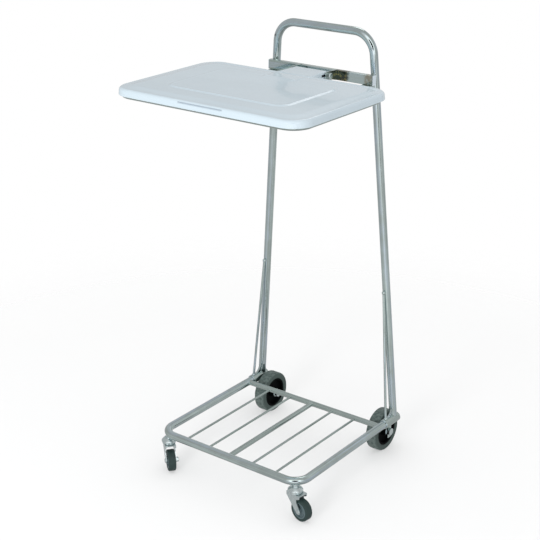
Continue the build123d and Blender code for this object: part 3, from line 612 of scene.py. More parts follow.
class Skin:
    """Collects rings of points and makes one mesh of them, with a grain for its finish."""

    def __init__(self) -> None:
        """Start empty."""
        self.points: list[Vector] = []
        self.faces: list[tuple[int, ...]] = []
        self.grain: list[Triple] = []

    def ring(self, points: Sequence[Vector], grain: Sequence[Triple] | None = None) -> list[int]:
        """Add a row of points.

        Args:
            points: the points.
            grain: their straightened coordinates, the points themselves when left out.

        Returns:
            Their numbers.
        """
        start = len(self.points)
        self.points.extend(points)
        self.grain.extend(grain or [tuple(p) for p in points])
        return list(range(start, len(self.points)))

    def bridge(self, low: list[int], high: list[int], closed: bool = True) -> None:
        """Join two rows of equal length with faces."""
        count = len(low)
        for index in range(count if closed else count - 1):
            after = (index + 1) % count
            self.faces.append((low[index], low[after], high[after], high[index]))

    def cap(self, row: list[int], flip: bool = False) -> None:
        """Close a row with one face."""
        self.faces.append(tuple(reversed(row)) if flip else tuple(row))

    def sweep(
        self,
        route: Route,
        radius: float | Callable[[float], float],
        sides: int = 32,
        capped: bool = True,
    ) -> None:
        """Sweep a round section along a route.

        Args:
            route: the line to follow.
            radius: the section's radius, or a function of the distance along.
            sides: points round the section.
            capped: whether the two ends are closed.
        """
        rows = []
        for point, way, along in route.stations():
            size = radius(along) if callable(radius) else radius
            side = way.cross(route.normal).normalized()
            up = side.cross(way)
            angles = [math.tau * k / sides for k in range(sides)]
            rows.append(
                self.ring(
                    [point + (side * math.cos(a) + up * math.sin(a)) * size for a in angles],
                    [(math.cos(a) * size, math.sin(a) * size, along) for a in angles],
                )
            )
        for low, high in zip(rows, rows[1:]):
            self.bridge(low, high)
        if route.closed:
            self.bridge(rows[-1], rows[0])
        elif capped:
            self.cap(rows[0], flip=True)
            self.cap(rows[-1])

    def revolve(
        self,
        origin: Vector,
        axis: Vector,
        profile: Sequence[Pair],
        turns: int = 96,
        closed: bool = True,
    ) -> None:
        """Turn a profile round an axis.

        Args:
            origin: a point on the axis.
            axis: its direction.
            profile: (radius, height along the axis) pairs, going round the section
                with the solid on their right.
            turns: steps round the axis.
            closed: whether the profile's last point joins its first.
        """
        axis = axis.normalized()
        side = axis.orthogonal().normalized()
        up = axis.cross(side)
        angles = [math.tau * k / turns for k in range(turns)]
        rows = []
        for radius, height in profile:
            rows.append(
                self.ring(
                    [
                        origin + axis * height + (side * math.cos(a) + up * math.sin(a)) * radius
                        for a in angles
                    ],
                    [(math.cos(a) * radius, math.sin(a) * radius, height) for a in angles],
                )
            )
        for low, high in zip(rows, rows[1:]):
            self.bridge(low, high)
        if closed:
            self.bridge(rows[-1], rows[0])

    def slab(self, outline: Sequence[Vector], depth: Vector) -> None:
        """Give a flat outline a thickness.

        Args:
            outline: its points, going round.
            depth: the way and distance to its other face.
        """
        low = self.ring(list(outline))
        high = self.ring([p + depth for p in outline])
        self.bridge(low, high)
        self.cap(low, flip=True)
        self.cap(high)

    def build(
        self,
        name: str,
        body: str,
        finish: Finish,
        stands_for: Sequence[str] = (),
        sharp: float = 32.0,
        bevel: float = 0.0,
    ) -> bpy.types.Object:
        """Make the object and fix it to its body.

        Args:
            name: the piece's name.
            body: the CAD body it rides on.
            finish: its finish.
            stands_for: CAD nodes that it replaces.
            sharp: edges sharper than this many degrees stay crisp.
            bevel: width of a bevel on the crisp edges, none when 0.

        Returns:
            The object.
        """
        mesh = bpy.data.meshes.new(name)
        mesh.from_pydata([tuple(p) for p in self.points], [], self.faces)
        mesh.validate()
        attribute = mesh.attributes.new(GRAIN, "FLOAT_VECTOR", "POINT")
        attribute.data.foreach_set("vector", [c for g in self.grain for c in g])
        mesh.shade_smooth()
        mesh.set_sharp_from_angle(angle=math.radians(sharp))
        piece = bpy.data.objects.new(name, mesh)
        bpy.context.scene.collection.objects.link(piece)
        if bevel:
            add_bevel(piece, bevel)
        mesh.materials.append(finish.material(Grain.MADE))
        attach(piece, body)
        if stands_for:
            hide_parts(*stands_for)
        LOG.info("%s: %d faces on %s", name, len(mesh.polygons), body)
        return piece


def add_bevel(piece: bpy.types.Object, width: float) -> None:
    """Round the crisp edges of a piece a little.

    Args:
        piece: the object.
        width: the bevel's width in metres.
    """
    weld = piece.modifiers.new("weld", "WELD")
    weld.merge_threshold = 0.000002
    bevel = piece.modifiers.new("bevel", "BEVEL")
    bevel.width = width
    bevel.segments = 3
    bevel.limit_method = "ANGLE"
    bevel.angle_limit = math.radians(34)
    bevel.harden_normals = True


def dress(node: str, finish: Finish, bevel: float = 0.0) -> None:
    """Give a CAD node its finish, and rounded edges where it has crisp ones.

    Args:
        node: the node's name.
        finish: its finish.
        bevel: the bevel's width in metres, none when 0.
    """
    piece = frame["nodes"][node]
    if not piece.material_slots:
        piece.data.materials.append(None)
    for slot in piece.material_slots:
        slot.link = "OBJECT"
        slot.material = finish.material(Grain.SOLID)
    if bevel:
        add_bevel(piece, bevel)
    LOG.info("%s: kept, %s", node, finish.slot.value)


def smooth(low: float, high: float, value: float) -> float:
    """A smooth step from 0 at low to 1 at high."""
    share = min(1.0, max(0.0, (value - low) / (high - low)))
    return share * share * (3 - 2 * share)


def between(first: Pair, last: Pair, part: int, parts: int) -> Pair:
    """The place that lies so many parts of the way from one to another."""
    return tuple(a + (b - a) * part / parts for a, b in zip(first, last))


def joint_named(name: str) -> dict:
    """The joint with a name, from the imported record."""
    return next(j for j in frame["joints"] if j["name"] == name)


@dataclass
class Saddle:
    """The line where one tube's end meets the round flank of another."""

    foot: Vector
    away: Vector
    radius: float
    flank_point: Vector
    flank_axis: Vector
    flank_radius: float

    def route(self, steps: int = 40) -> Route:
        """The closed line round the joint.

        Args:
            steps: points on it.

        Returns:
            The route.
        """
        away = self.away.normalized()
        side = away.orthogonal().normalized()
        up = away.cross(side)
        points = []
        for k in range(steps):
            angle = math.tau * k / steps
            start = self.foot + (side * math.cos(angle) + up * math.sin(angle)) * self.radius
            offset = start - self.flank_point
            flat = offset - self.flank_axis * offset.dot(self.flank_axis)
            run = away - self.flank_axis * away.dot(self.flank_axis)
            a, b = run.length_squared, flat.dot(run)
            c = flat.length_squared - self.flank_radius ** 2
            reach = (-b + math.sqrt(max(0.0, b * b - a * c))) / a
            points.append(start + away * reach)
        return Route(points, away, closed=True)


@dataclass
class Tray:
    """The tray: a U of tube with bars, wires and their welds."""

    side_x: float = 0.194
    front_y: float = -0.1755
    height: float = 0.087
    end_y: float = 0.187
    bend: float = 0.036
    tube_r: float = 0.009
    cross_y: float = 0.1465
    cross_r: float = 0.0065
    spine_r: float = 0.00575
    wire_r: float = 0.0026
    wire_x: Pair = (0.061, 0.1245)
    bead_r: float = 0.0008

    def tube(self) -> None:
        """Make the U of tube."""
        corners = [
            Vector((-self.side_x, self.end_y, self.height)),
            Vector((-self.side_x, self.front_y, self.height)),
            Vector((self.side_x, self.front_y, self.height)),
            Vector((self.side_x, self.end_y, self.height)),
        ]
        skin = Skin()
        skin.sweep(Route.rounded(corners, self.bend, Z_AXIS), self.tube_r, 48)
        skin.build("tray_tube", "frame", CHROME, ["base_tube"])

    def welds(self) -> None:
        """Make the weld beads where bars and wires meet the tubes."""
        front = (Vector((0, self.front_y, self.height)), X_AXIS, self.tube_r)
        cross = (Vector((0, self.cross_y, self.height)), X_AXIS, self.cross_r)
        saddles = []
        rods = [(0.0, self.spine_r)]
        rods += [(side * x, self.wire_r) for x in self.wire_x for _, side in SIDES]
        for x, radius in rods:
            for target, way in ((front, Y_AXIS), (cross, -Y_AXIS)):
                foot = Vector((x, target[0].y, self.height))
                saddles.append(Saddle(foot, way, radius, *target))
        for _, side in SIDES:
            foot = Vector((side * self.side_x, self.cross_y, self.height))
            saddles.append(Saddle(foot, -side * X_AXIS, self.cross_r, foot, Y_AXIS, self.tube_r))
        skin = Skin()
        for saddle in saddles:
            size = self.bead_r if saddle.radius > 2 * self.wire_r else 0.7 * self.bead_r
            skin.sweep(saddle.route(), ripple(size), 10)
        skin.build("tray_welds", "frame", CHROME)

    def make(self) -> None:
        """Make the tray and dress its CAD bars."""
        self.tube()
        self.welds()
        dress("rear_cross_bar", CHROME_X)
        for node in ("centre_bar", "tray_wires"):
            dress(node, CHROME_Y)


def ripple(size: float) -> Callable[[float], float]:
    """A weld bead's radius, which swells at each drop of metal.

    Args:
        size: the mean radius.

    Returns:
        The radius as a function of the distance along the bead.
    """
    drop = 0.0016
    return lambda along: size * (1 + 0.16 * math.sin(math.tau * along / drop))


@dataclass
class Uprights:
    """The bent tube that is both uprights and the handle, with sleeves and stays at its feet."""

    foot_x: float = 0.194
    foot_y: float = 0.2023
    foot_z: float = 0.087
    top_x: float = 0.1241
    top_y: float = 0.1747
    top_z: float = 0.988
    bend: float = 0.05
    tube_r: float = 0.009
    sleeve_r: float = 0.0115
    mouth_y: float = 0.160
    bead_r: float = 0.0010
    hole_z: float = 0.956
    hole_r: float = 0.0023

    def corners(self) -> list[Vector]:
        """The corner points of the tube's centreline, from the left foot to the right."""
        return [
            Vector((-self.foot_x, self.foot_y, self.foot_z)),
            Vector((-self.top_x, self.top_y, self.top_z)),
            Vector((self.top_x, self.top_y, self.top_z)),
            Vector((self.foot_x, self.foot_y, self.foot_z)),
        ]

    def tube(self) -> None:
        """Make the bent tube."""
        corners = self.corners()
        normal = (corners[0] - corners[1]).cross(corners[2] - corners[1]).normalized()
        skin = Skin()
        skin.sweep(Route.rounded(corners, self.bend, normal), self.tube_r, 48)
        tube = skin.build("handle_tube", "frame", CHROME, ["upright_handle"])
        LOG.info("%s: bends of %.0f mm", tube.name, self.bend / MM)

    def holes(self) -> None:
        """Make the mouths of the drilled holes: each a dimpled disc with a rim, near-black as painted
        shade for the hole's inside.
        """
        for name, side in SIDES:
            share = (self.hole_z - self.foot_z) / (self.top_z - self.foot_z)
            x = side * (self.foot_x + (self.top_x - self.foot_x) * share)
            y = self.foot_y + (self.top_y - self.foot_y) * share
            face = Vector((x, y - self.tube_r - 0.0001, self.hole_z))
            r = self.hole_r
            skin = Skin()
            skin.revolve(
                face,
                -Y_AXIS,
                [(0.0, -0.0012), (0.8 * r, -0.0010), (0.92 * r, 0.0), (r, 0.00012), (1.1 * r, -0.0003)],
                32,
                closed=False,
            )
            # Painted shade: the near-black disc stands in for the shade inside the hole.
            skin.build(f"drilled_hole_{name}", "frame", HUB_NYLON)

    def welds(self) -> None:
        """Make the beads at the feet and at the sleeves' mouths."""
        corners = self.corners()
        skin = Skin()
        for foot, head in ((corners[0], corners[1]), (corners[3], corners[2])):
            saddle = Saddle(foot, head - foot, self.tube_r, foot, Y_AXIS, self.sleeve_r)
            skin.sweep(saddle.route(64), ripple(self.bead_r), 10)
            mouth = Vector((foot.x, self.mouth_y - 0.0003, foot.z))
            circle = [
                mouth
                + (X_AXIS * math.cos(a) + Z_AXIS * math.sin(a)) * (self.tube_r + 0.0006)
                for a in (math.tau * k / 56 for k in range(56))
            ]
            skin.sweep(Route(circle, Y_AXIS, closed=True), ripple(self.bead_r), 10)
        skin.build("foot_welds", "frame", CHROME)

    def make(self) -> None:
        """Make the tube and its welds and dress the CAD pieces at its feet."""
        self.tube()
        self.holes()
        self.welds()
        for name, _ in SIDES:
            dress("sleeve_" + name, CHROME_Y, 0.3 * MM)
            dress("sleeve_cap_" + name, CHROME_Y, 0.3 * MM)
            dress("foot_gusset_" + name, CHROME, 0.5 * MM)
            dress("stay_rod_" + name, CHROME)


@dataclass
class Hinge:
    """The bar across the uprights with its bracket, pin and nut, and the ring under the lid."""

    def make(self) -> None:
        """Dress the CAD pieces."""
        dress("hinge_bar", BAR_CHROME, 0.4 * MM)
        dress("hinge_bracket", BRACKET_CHROME, 0.5 * MM)
        dress("hinge_pin", ZINC, 0.3 * MM)
        dress("hinge_nut", ZINC, 0.3 * MM)
        dress("bag_ring", CHROME_X)
        dress("ring_arms", CHROME_Y, 0.5 * MM)
        for name, _ in SIDES:
            dress("bar_plug_" + name, PLUG_PLASTIC, 0.3 * MM)


@dataclass
class Lid:
    """The moulded lid: drafted skirt, rolled shoulder, crown, raised panel and hinge tongue."""

    half: float = 0.240
    front: float = -0.250
    back: float = 0.079
    bottom: float = 0.886
    edge: float = 0.9015
    corner: float = 0.046
    draft: float = math.radians(5)
    shoulder: float = 0.0065
    wall: float = 0.003
    crown_inset: float = 0.010
    crown_slope: float = 0.026
    crown_rise: float = 0.0022
    panel_half: float = 0.156
    panel_front: float = -0.183
    panel_back: float = 0.022
    panel_corner: float = 0.034
    panel_slope: float = 0.0075
    panel_rise: float = 0.0021
    bead: float = 0.0002
    bead_wide: float = 0.0024
    tongue_half: float = 0.0438
    flare_half: float = 0.047
    flare_y: float = 0.100
    pin_y: float = 0.126
    pin_z: float = 0.8948
    knuckle_r: float = 0.0086
    band_y: float = 0.005
    band_half: float = 0.0350
    band_rise: float = 0.0011
    band_side: Pair = (-0.001, 0.0065)
    band_start: Pair = (-0.022, 0.012)
    rear_rise: Pair = (0.034, 0.014)
    rear_slope: float = 0.006
    dish: float = 0.0009
    dish_x: float = 0.045
    dish_y: float = -0.045
    dish_wide: float = 0.045
    dish_long: float = 0.040
    grip_half: float = 0.057
    grip_z: float = 0.8942
    grip_high: float = 0.0038
    grip_deep: float = 0.0024
    side_steps: int = 44
    long_steps: int = 96
    corner_steps: int = 14

    @property
    def mid_y(self) -> float:
        """Middle of the lid, front to back."""
        return (self.front + self.back) / 2

    def rounded(
        self, mid: float, reach_x: float, reach_y: float, radius: float
    ) -> list[Pair]:
        """A rounded rectangle with the same number of points whatever its size.

        Args:
            mid: the middle of it, front to back.
            reach_x: half its width.
            reach_y: half its depth.
            radius: its corners' radius.

        Returns:
            Points going round, seen from above against the clock.
        """
        points: list[Pair] = []
        corners = ((1, -1), (1, 1), (-1, 1), (-1, -1))
        for turn, (sx, sy) in enumerate(corners):
            centre = (sx * (reach_x - radius), mid + sy * (reach_y - radius))
            start = -math.pi / 2 + turn * math.pi / 2
            for k in range(self.corner_steps + 1):
                angle = start + math.pi / 2 * k / self.corner_steps
                points.append(
                    (centre[0] + radius * math.cos(angle), centre[1] + radius * math.sin(angle))
                )
            ahead_x, ahead_y = corners[(turn + 1) % 4]
            turned = start + math.pi / 2
            goal = (
                ahead_x * (reach_x - radius) + radius * math.cos(turned),
                mid + ahead_y * (reach_y - radius) + radius * math.sin(turned),
            )
            last = points[-1]
            steps = self.long_steps if turn % 2 else self.side_steps
            points.extend(between(last, goal, k, steps) for k in range(1, steps))
        return points

    def outline(self, inset: float) -> list[Pair]:
        """The rim's outline, drawn in by an inset."""
        return self.rounded(
            self.mid_y,
            self.half - inset,
            (self.back - self.front) / 2 - inset,
            self.corner - 0.6 * inset,
        )

    def panel_outline(self, inset: float) -> list[Pair]:
        """The panel's outline, drawn in by an inset."""
        return self.rounded(
            (self.panel_front + self.panel_back) / 2,
            self.panel_half - inset,
            (self.panel_back - self.panel_front) / 2 - inset,
            max(self.panel_corner - inset, 0.002),
        )

    def top_rings(self) -> list[tuple[float, list[Pair]]]:
        """The rings of the lid's top, from the shoulder to the middle.

        Returns:
            Pairs of the inset from the rim, which counts up to the crown's top, and the outline.
        """
        crown_rings, flat_rings, edge_rings, panel_rings = 20, 10, 31, 24
        margin, fine, middle = 0.004, 0.0007, 0.003
        start = self.shoulder_inset()
        full = self.crown_inset + self.crown_slope + 0.001
        rings = []
        for k in range(1, crown_rings + 1):
            inset = start + (full - start) * k / crown_rings
            rings.append((inset, self.outline(inset)))
        outer, inner = rings[-1][1], self.panel_outline(-margin)
        for k in range(1, flat_rings + 1):
            rings.append((full, [between(a, b, k, flat_rings) for a, b in zip(outer, inner)]))
        for k in range(1, edge_rings + 1):
            rings.append((full, self.panel_outline(fine * k - margin)))
        begin = fine * edge_rings - margin
        end = (self.panel_back - self.panel_front) / 2 - middle
        for k in range(1, panel_rings + 1):
            rings.append((full, self.panel_outline(begin + (end - begin) * k / panel_rings)))
        return rings

    def panel_distance(self, x: float, y: float) -> float:
        """How far inside the panel's outline a place is, negative outside."""
        mid = (self.panel_front + self.panel_back) / 2
        dx = abs(x) - (self.panel_half - self.panel_corner)
        dy = abs(y - mid) - ((self.panel_back - self.panel_front) / 2 - self.panel_corner)
        outside = math.hypot(max(dx, 0.0), max(dy, 0.0)) + min(max(dx, dy), 0.0)
        return self.panel_corner - outside

    def band(self, x: float, y: float) -> float:
        """Height of the raised band that runs from the tongue into the panel, a little narrower."""
        share = (y - self.band_y) / (self.flare_y - self.band_y)
        width = self.band_half + (self.tongue_half - self.band_half) * max(-0.2, min(1.0, share))
        inside = 1 - smooth(width + self.band_side[0], width + self.band_side[1], abs(x))
        begin, full = self.band_start
        return self.band_rise * inside * smooth(self.band_y + begin, self.band_y + full, y)

    def height(self, x: float, y: float, inset: float) -> float:
        """Height of the lid's top.

        Args:
            x: place across.
            y: place front to back.
            inset: distance in from the rim.

        Returns:
            The height.
        """
        crown = smooth(self.crown_inset, self.crown_inset + self.crown_slope, inset)
        start = self.shoulder_inset()
        rear = smooth(self.back - self.rear_rise[0], self.back - self.rear_rise[1], y)
        crown = max(crown, rear * smooth(start, start + self.rear_slope, inset))
        depth = self.panel_distance(x, y)
        panel = smooth(0.0, self.panel_slope, depth)
        bead = math.exp(-(((depth - self.panel_slope) / self.bead_wide) ** 2))
        along = ((y - self.dish_y) / self.dish_long) ** 2
        hollow = sum(
            math.exp(-(((x - side * self.dish_x) / self.dish_wide) ** 2) - along)
            for _, side in SIDES
        )
        return (
            self.edge
            + self.crown_rise * crown
            + (self.panel_rise - self.bead) * panel
            + self.bead * bead
            + self.band(x, y)
            - self.dish * hollow
        )

    def shoulder_inset(self) -> float:
        """Inset of the shoulder arc's centre."""
        rise = self.edge - self.shoulder - self.bottom
        return self.shoulder / math.cos(self.draft) + rise * math.tan(self.draft)

    def grip(self, x: float, y: float, z: float) -> float:
        """Depth of the grip recess at a place on the front skirt."""
        if y > self.front + 0.01:
            return 0.0
        share = (z - self.grip_z) / self.grip_high
        ends = 1 - smooth(self.grip_half - 0.004, self.grip_half, abs(x))
        return self.grip_deep * ends * smooth(-0.1, 0.9, share) * (1 - smooth(0.98, 1.12, share))

    def side_ring(self, skin: Skin, inset: float, z: float) -> list[int]:
        """Add one ring of the skirt, pressed in where the grip is.

        Args:
            skin: what to add it to.
            inset: distance in from the rim.
            z: height.

        Returns:
            The ring's numbers.
        """
        return skin.ring(
            [Vector((x, y + self.grip(x, y, z), z)) for x, y in self.outline(inset)]
        )

    def shell(self, skin: Skin) -> None:
        """Add the skirt, the top and the underside."""
        lip, lip_steps, skirt_steps, shoulder_steps = 0.0007, 3, 30, 12
        centre = self.shoulder_inset()
        rows = []
        for k in range(lip_steps + 1):
            angle = math.pi / 2 * k / lip_steps
            z = self.bottom + lip * (1 - math.cos(angle))
            rows.append(self.side_ring(skin, lip * (1 - math.sin(angle)), z))
        skirt_top = self.edge - self.shoulder
        for k in range(1, skirt_steps + 1):
            z = self.bottom + lip + (skirt_top - self.bottom - lip) * k / skirt_steps
            rows.append(self.side_ring(skin, (z - self.bottom) * math.tan(self.draft), z))
        for k in range(1, shoulder_steps + 1):
            angle = self.draft + (math.pi / 2 - self.draft) * k / shoulder_steps
            inset = centre - self.shoulder * math.cos(angle)
            rows.append(self.side_ring(skin, inset, skirt_top + self.shoulder * math.sin(angle)))
        for inset, outline in self.top_rings():
            rows.append(skin.ring([Vector((x, y, self.height(x, y, inset))) for x, y in outline]))
        for low, high in zip(rows, rows[1:]):
            skin.bridge(low, high)
        skin.cap(rows[-1])
        self.underside(skin, rows[0])

    def underside(self, skin: Skin, lip_row: list[int]) -> None:
        """Add the inner wall and the roof of the hollow.

        Args:
            skin: what to add them to.
            lip_row: the outermost ring at the skirt's bottom.
        """
        rows = [lip_row, self.side_ring(skin, self.wall, self.bottom)]
        roof = self.edge - self.wall
        bend = self.shoulder - self.wall
        centre = self.shoulder_inset()
        bend_steps = 6
        for k in range(bend_steps + 1):
            angle = self.draft + (math.pi / 2 - self.draft) * k / bend_steps
            z = roof - bend + bend * math.sin(angle)
            outline = self.outline(centre - bend * math.cos(angle))
            rows.append(skin.ring([Vector((x, y, z)) for x, y in outline]))
        for inset, outline in self.top_rings()[1::2]:
            roofs = [Vector((x, y, self.height(x, y, inset) - self.wall)) for x, y in outline]
            rows.append(skin.ring(roofs))
        for low, high in zip(rows, rows[1:]):
            skin.bridge(high, low)
        skin.cap(rows[-1], flip=True)

    def tongue_width(self, y: float) -> float:
        """Half the tongue's width at a place front to back."""
        return self.tongue_half + (self.flare_half - self.tongue_half) * (
            1 - smooth(self.back - self.crown_inset, self.flare_y + 0.004, y)
        )

    def apron(self, skin: Skin) -> None:
        """Add the plate that runs from the lid's top out to the knuckle."""
        start, end = 0.046, self.pin_y
        steps, across = 40, 36
        edge_r, merge, sink = 0.0035, 0.024, 0.0008
        rows = []
        for k in range(steps + 1):
            y = start + (end - start) * k / steps
            half = self.tongue_width(y)
            top_flat = self.pin_z + self.knuckle_r
            inset = self.back - y
            lid_top = self.height(0.0, y, inset) - self.band(0.0, y) if inset > 0 else top_flat
            share = smooth(start, start + merge, y)
            base = (lid_top - sink) * (1 - share) + top_flat * share
            points = []
            for j in range(across + 1):
                x = half * (2 * j / across - 1)
                rim = max(0.0, abs(x) - (half - edge_r)) / edge_r
                drop = edge_r * (1 - math.sqrt(max(0.0, 1 - rim * rim)))
                points.append(Vector((x, y, base + self.band(x, y) * (1 - rim) - drop)))
            low = self.pin_z
            points.append(Vector((half, y, low)))
            points.append(Vector((-half, y, low)))
            rows.append(skin.ring(points))
        for low_row, high_row in zip(rows, rows[1:]):
            skin.bridge(low_row, high_row)
        skin.cap(rows[0], flip=True)
        skin.cap(rows[-1])

    def knuckle(self) -> bpy.types.Object:
        """Make the block with the knuckle, hollowed from below.

        Returns:
            The object, to be joined to the lid.
        """
        r, half = self.knuckle_r, self.tongue_half
        floor, inner = self.pin_z - r, self.back - 0.0015
        profile = [(inner, floor), (self.pin_y, floor)]
        profile += [
            (self.pin_y + r * math.sin(a), self.pin_z - r * math.cos(a))
            for a in (math.pi * k / 24 for k in range(1, 24))
        ]
        profile += [(self.pin_y, self.pin_z + r - 0.0001), (inner, self.pin_z + r - 0.0001)]
        block = Skin()
        block.slab([Vector((-half, y, z)) for y, z in profile], X_AXIS * 2 * half)
        body = block.build("lid_knuckle", "lid", LID_PLASTIC)
        hollow = Skin()
        near, far = self.back + 0.001, self.pin_y - r - 0.001
        span = half - self.wall
        hollow.slab(
            [Vector((-span, near, floor - 0.002)), Vector((-span, far, floor - 0.002)),
             Vector((-span, far, self.edge - self.wall)), Vector((-span, near, self.edge - self.wall))],
            X_AXIS * 2 * span,
        )
        cutter = hollow.build("pocket_cutter", "lid", LID_PLASTIC)
        cut = body.modifiers.new("pocket", "BOOLEAN")
        cut.operation = "DIFFERENCE"
        cut.object = cutter
        cut.solver = "EXACT"
        graph = bpy.context.evaluated_depsgraph_get()
        made = bpy.data.meshes.new_from_object(body.evaluated_get(graph))
        body.modifiers.clear()
        body.data = made
        bpy.data.objects.remove(cutter)
        add_bevel(body, 0.7 * MM)
        return body

    def ribs(self, skin: Skin) -> None:
        """Add the rest ribs that close over the bag ring."""
        wide, long, foot = 0.014, 0.005, 0.8884
        for y in (-0.150, -0.020):
            for _, side in SIDES:
                wall_x = side * (self.half - 0.6 * self.wall)
                inner = wall_x - side * wide
                top = self.edge - self.wall / 2
                outline = [
                    Vector((wall_x, y, foot)),
                    Vector((inner + side * 0.002, y, foot)),
                    Vector((inner, y, foot + 0.002)),
                    Vector((inner, y, top)),
                    Vector((wall_x - side * 0.004, y, top)),
                    Vector((wall_x - side * 0.001, y, top - self.shoulder)),
                ]
                if side < 0:
                    outline.reverse()
                skin.slab(outline, Y_AXIS * long)

    def make(self) -> None:
        """Make the lid."""
        skin = Skin()
        self.shell(skin)
        skin.build("lid_shell", "lid", LID_PLASTIC, ["lid"], sharp=50)
        tongue = Skin()
        self.apron(tongue)
        tongue.build("lid_tongue", "lid", LID_PLASTIC, sharp=50)
        self.knuckle()
        ribs = Skin()
        self.ribs(ribs)
        ribs.build("lid_ribs", "lid", LID_PLASTIC, bevel=0.4 * MM)


def round_corners(
    corners: Sequence[Pair], radii: Sequence[float], steps: int = 6
) -> list[Pair]:
    """Round the corners of a closed profile.

    Args:
        corners: its corner points.
        radii: one radius for each corner, 0 for a crisp one.
        steps: points on each arc.

    Returns:
        The profile's points.
    """
    made: list[Pair] = []
    count = len(corners)
    for index, (corner, radius) in enumerate(zip(corners, radii)):
        here = Vector(corner)
        back = Vector(corners[index - 1]) - here
        ahead = Vector(corners[(index + 1) % count]) - here
        if radius <= 0:
            made.append(tuple(here))
            continue
        half = back.angle(ahead) / 2
        cut = min(radius / math.tan(half), 0.49 * back.length, 0.49 * ahead.length)
        radius = cut * math.tan(half)
        back.normalize()
        ahead.normalize()
        centre = here + (back + ahead).normalized() * (radius / math.sin(half))
        first = here + back * cut - centre
        last = here + ahead * cut - centre
        sweep = first.angle_signed(last)
        for k in range(steps + 1):
            spin = Matrix.Rotation(-sweep * k / steps, 2)
            made.append(tuple(centre + spin @ first))
    return made


@dataclass
class RearWheel:
    """A rear wheel: solid tyre on a black moulded hub, with bolt, washers, nut and plate."""

    side: str
    radius: float = 0.050
    width: float = 0.028
    hub_r: float = 0.036
    rim: float = 0.0045
    web: float = 0.009
    boss_r: float = 0.012
    boss_long: float = 0.031
    bore_r: float = 0.00505
    shoulder: float = 0.0055

    def tyre(self, centre: Vector, axis: Vector) -> None:
        """Make the tyre, with rounded shoulders and a shallow groove on each flank.

        Args:
            centre: the wheel's centre.
            axis: its axle's direction.
        """
        h, inner, r = self.width / 2, self.hub_r + 0.0001, self.radius
        groove = 0.0005
        corners = [
            (inner, -h), (inner + 0.003, -h), (inner + 0.004, -h + groove),
            (inner + 0.005, -h), (r, -h), (r, h), (inner + 0.005, h),
            (inner + 0.004, h - groove), (inner + 0.003, h), (inner, h),
        ]
        radii = [0.0006, 0.0004, 0.0004, 0.0004, self.shoulder, self.shoulder] + [0.0004] * 3 + [0.0006]
        skin = Skin()
        skin.revolve(centre, axis, round_corners(corners, radii)[::-1], 144)
        skin.build(
            f"rear_wheel_tyre_{self.side}",
            f"rear_wheel_{self.side}",
            TYRE_RUBBER,
            ["rear_tyre_" + self.side],
            sharp=60,
        )

    def hub(self, centre: Vector, axis: Vector) -> None:
        """Make the hub: rim, dished web and boss.

        Args:
            centre: the wheel's centre.
            axis: its axle's direction.
        """
        rim_h, web_h, boss_h = self.width / 2 - 0.001, self.web / 2, self.boss_long / 2
        inner = self.hub_r - self.rim
        half = [
            (self.bore_r, boss_h), (self.boss_r, boss_h), (self.boss_r + 0.0006, web_h),
            (inner - 0.0006, web_h), (inner, rim_h), (self.hub_r, rim_h),
        ]
        corners = half + [(r, -z) for r, z in reversed(half)]
        radii = [0.0003, 0.0012, 0.002, 0.002, 0.0008, 0.0008]
        skin = Skin()
        skin.revolve(centre, axis, round_corners(corners, radii + radii[::-1]), 144)
        skin.build(
            f"rear_wheel_hub_{self.side}",
            f"rear_wheel_{self.side}",
            HUB_NYLON,
            ["rear_hub_" + self.side],
            sharp=45,
        )

    def make(self) -> None:
        """Make the wheel and dress its fixings."""
        joint = joint_named(f"rear_wheel_{self.side}_spin")
        centre, axis = Vector(joint["pos_m"]), Vector(joint["axis"]).normalized()
        self.tyre(centre, axis)
        self.hub(centre, axis)
        dress("axle_plate_" + self.side, CHROME, 0.5 * MM)
        for node in ("axle_bolt_", "axle_nut_", "axle_washers_"):
            dress(node + self.side, ZINC, 0.3 * MM)


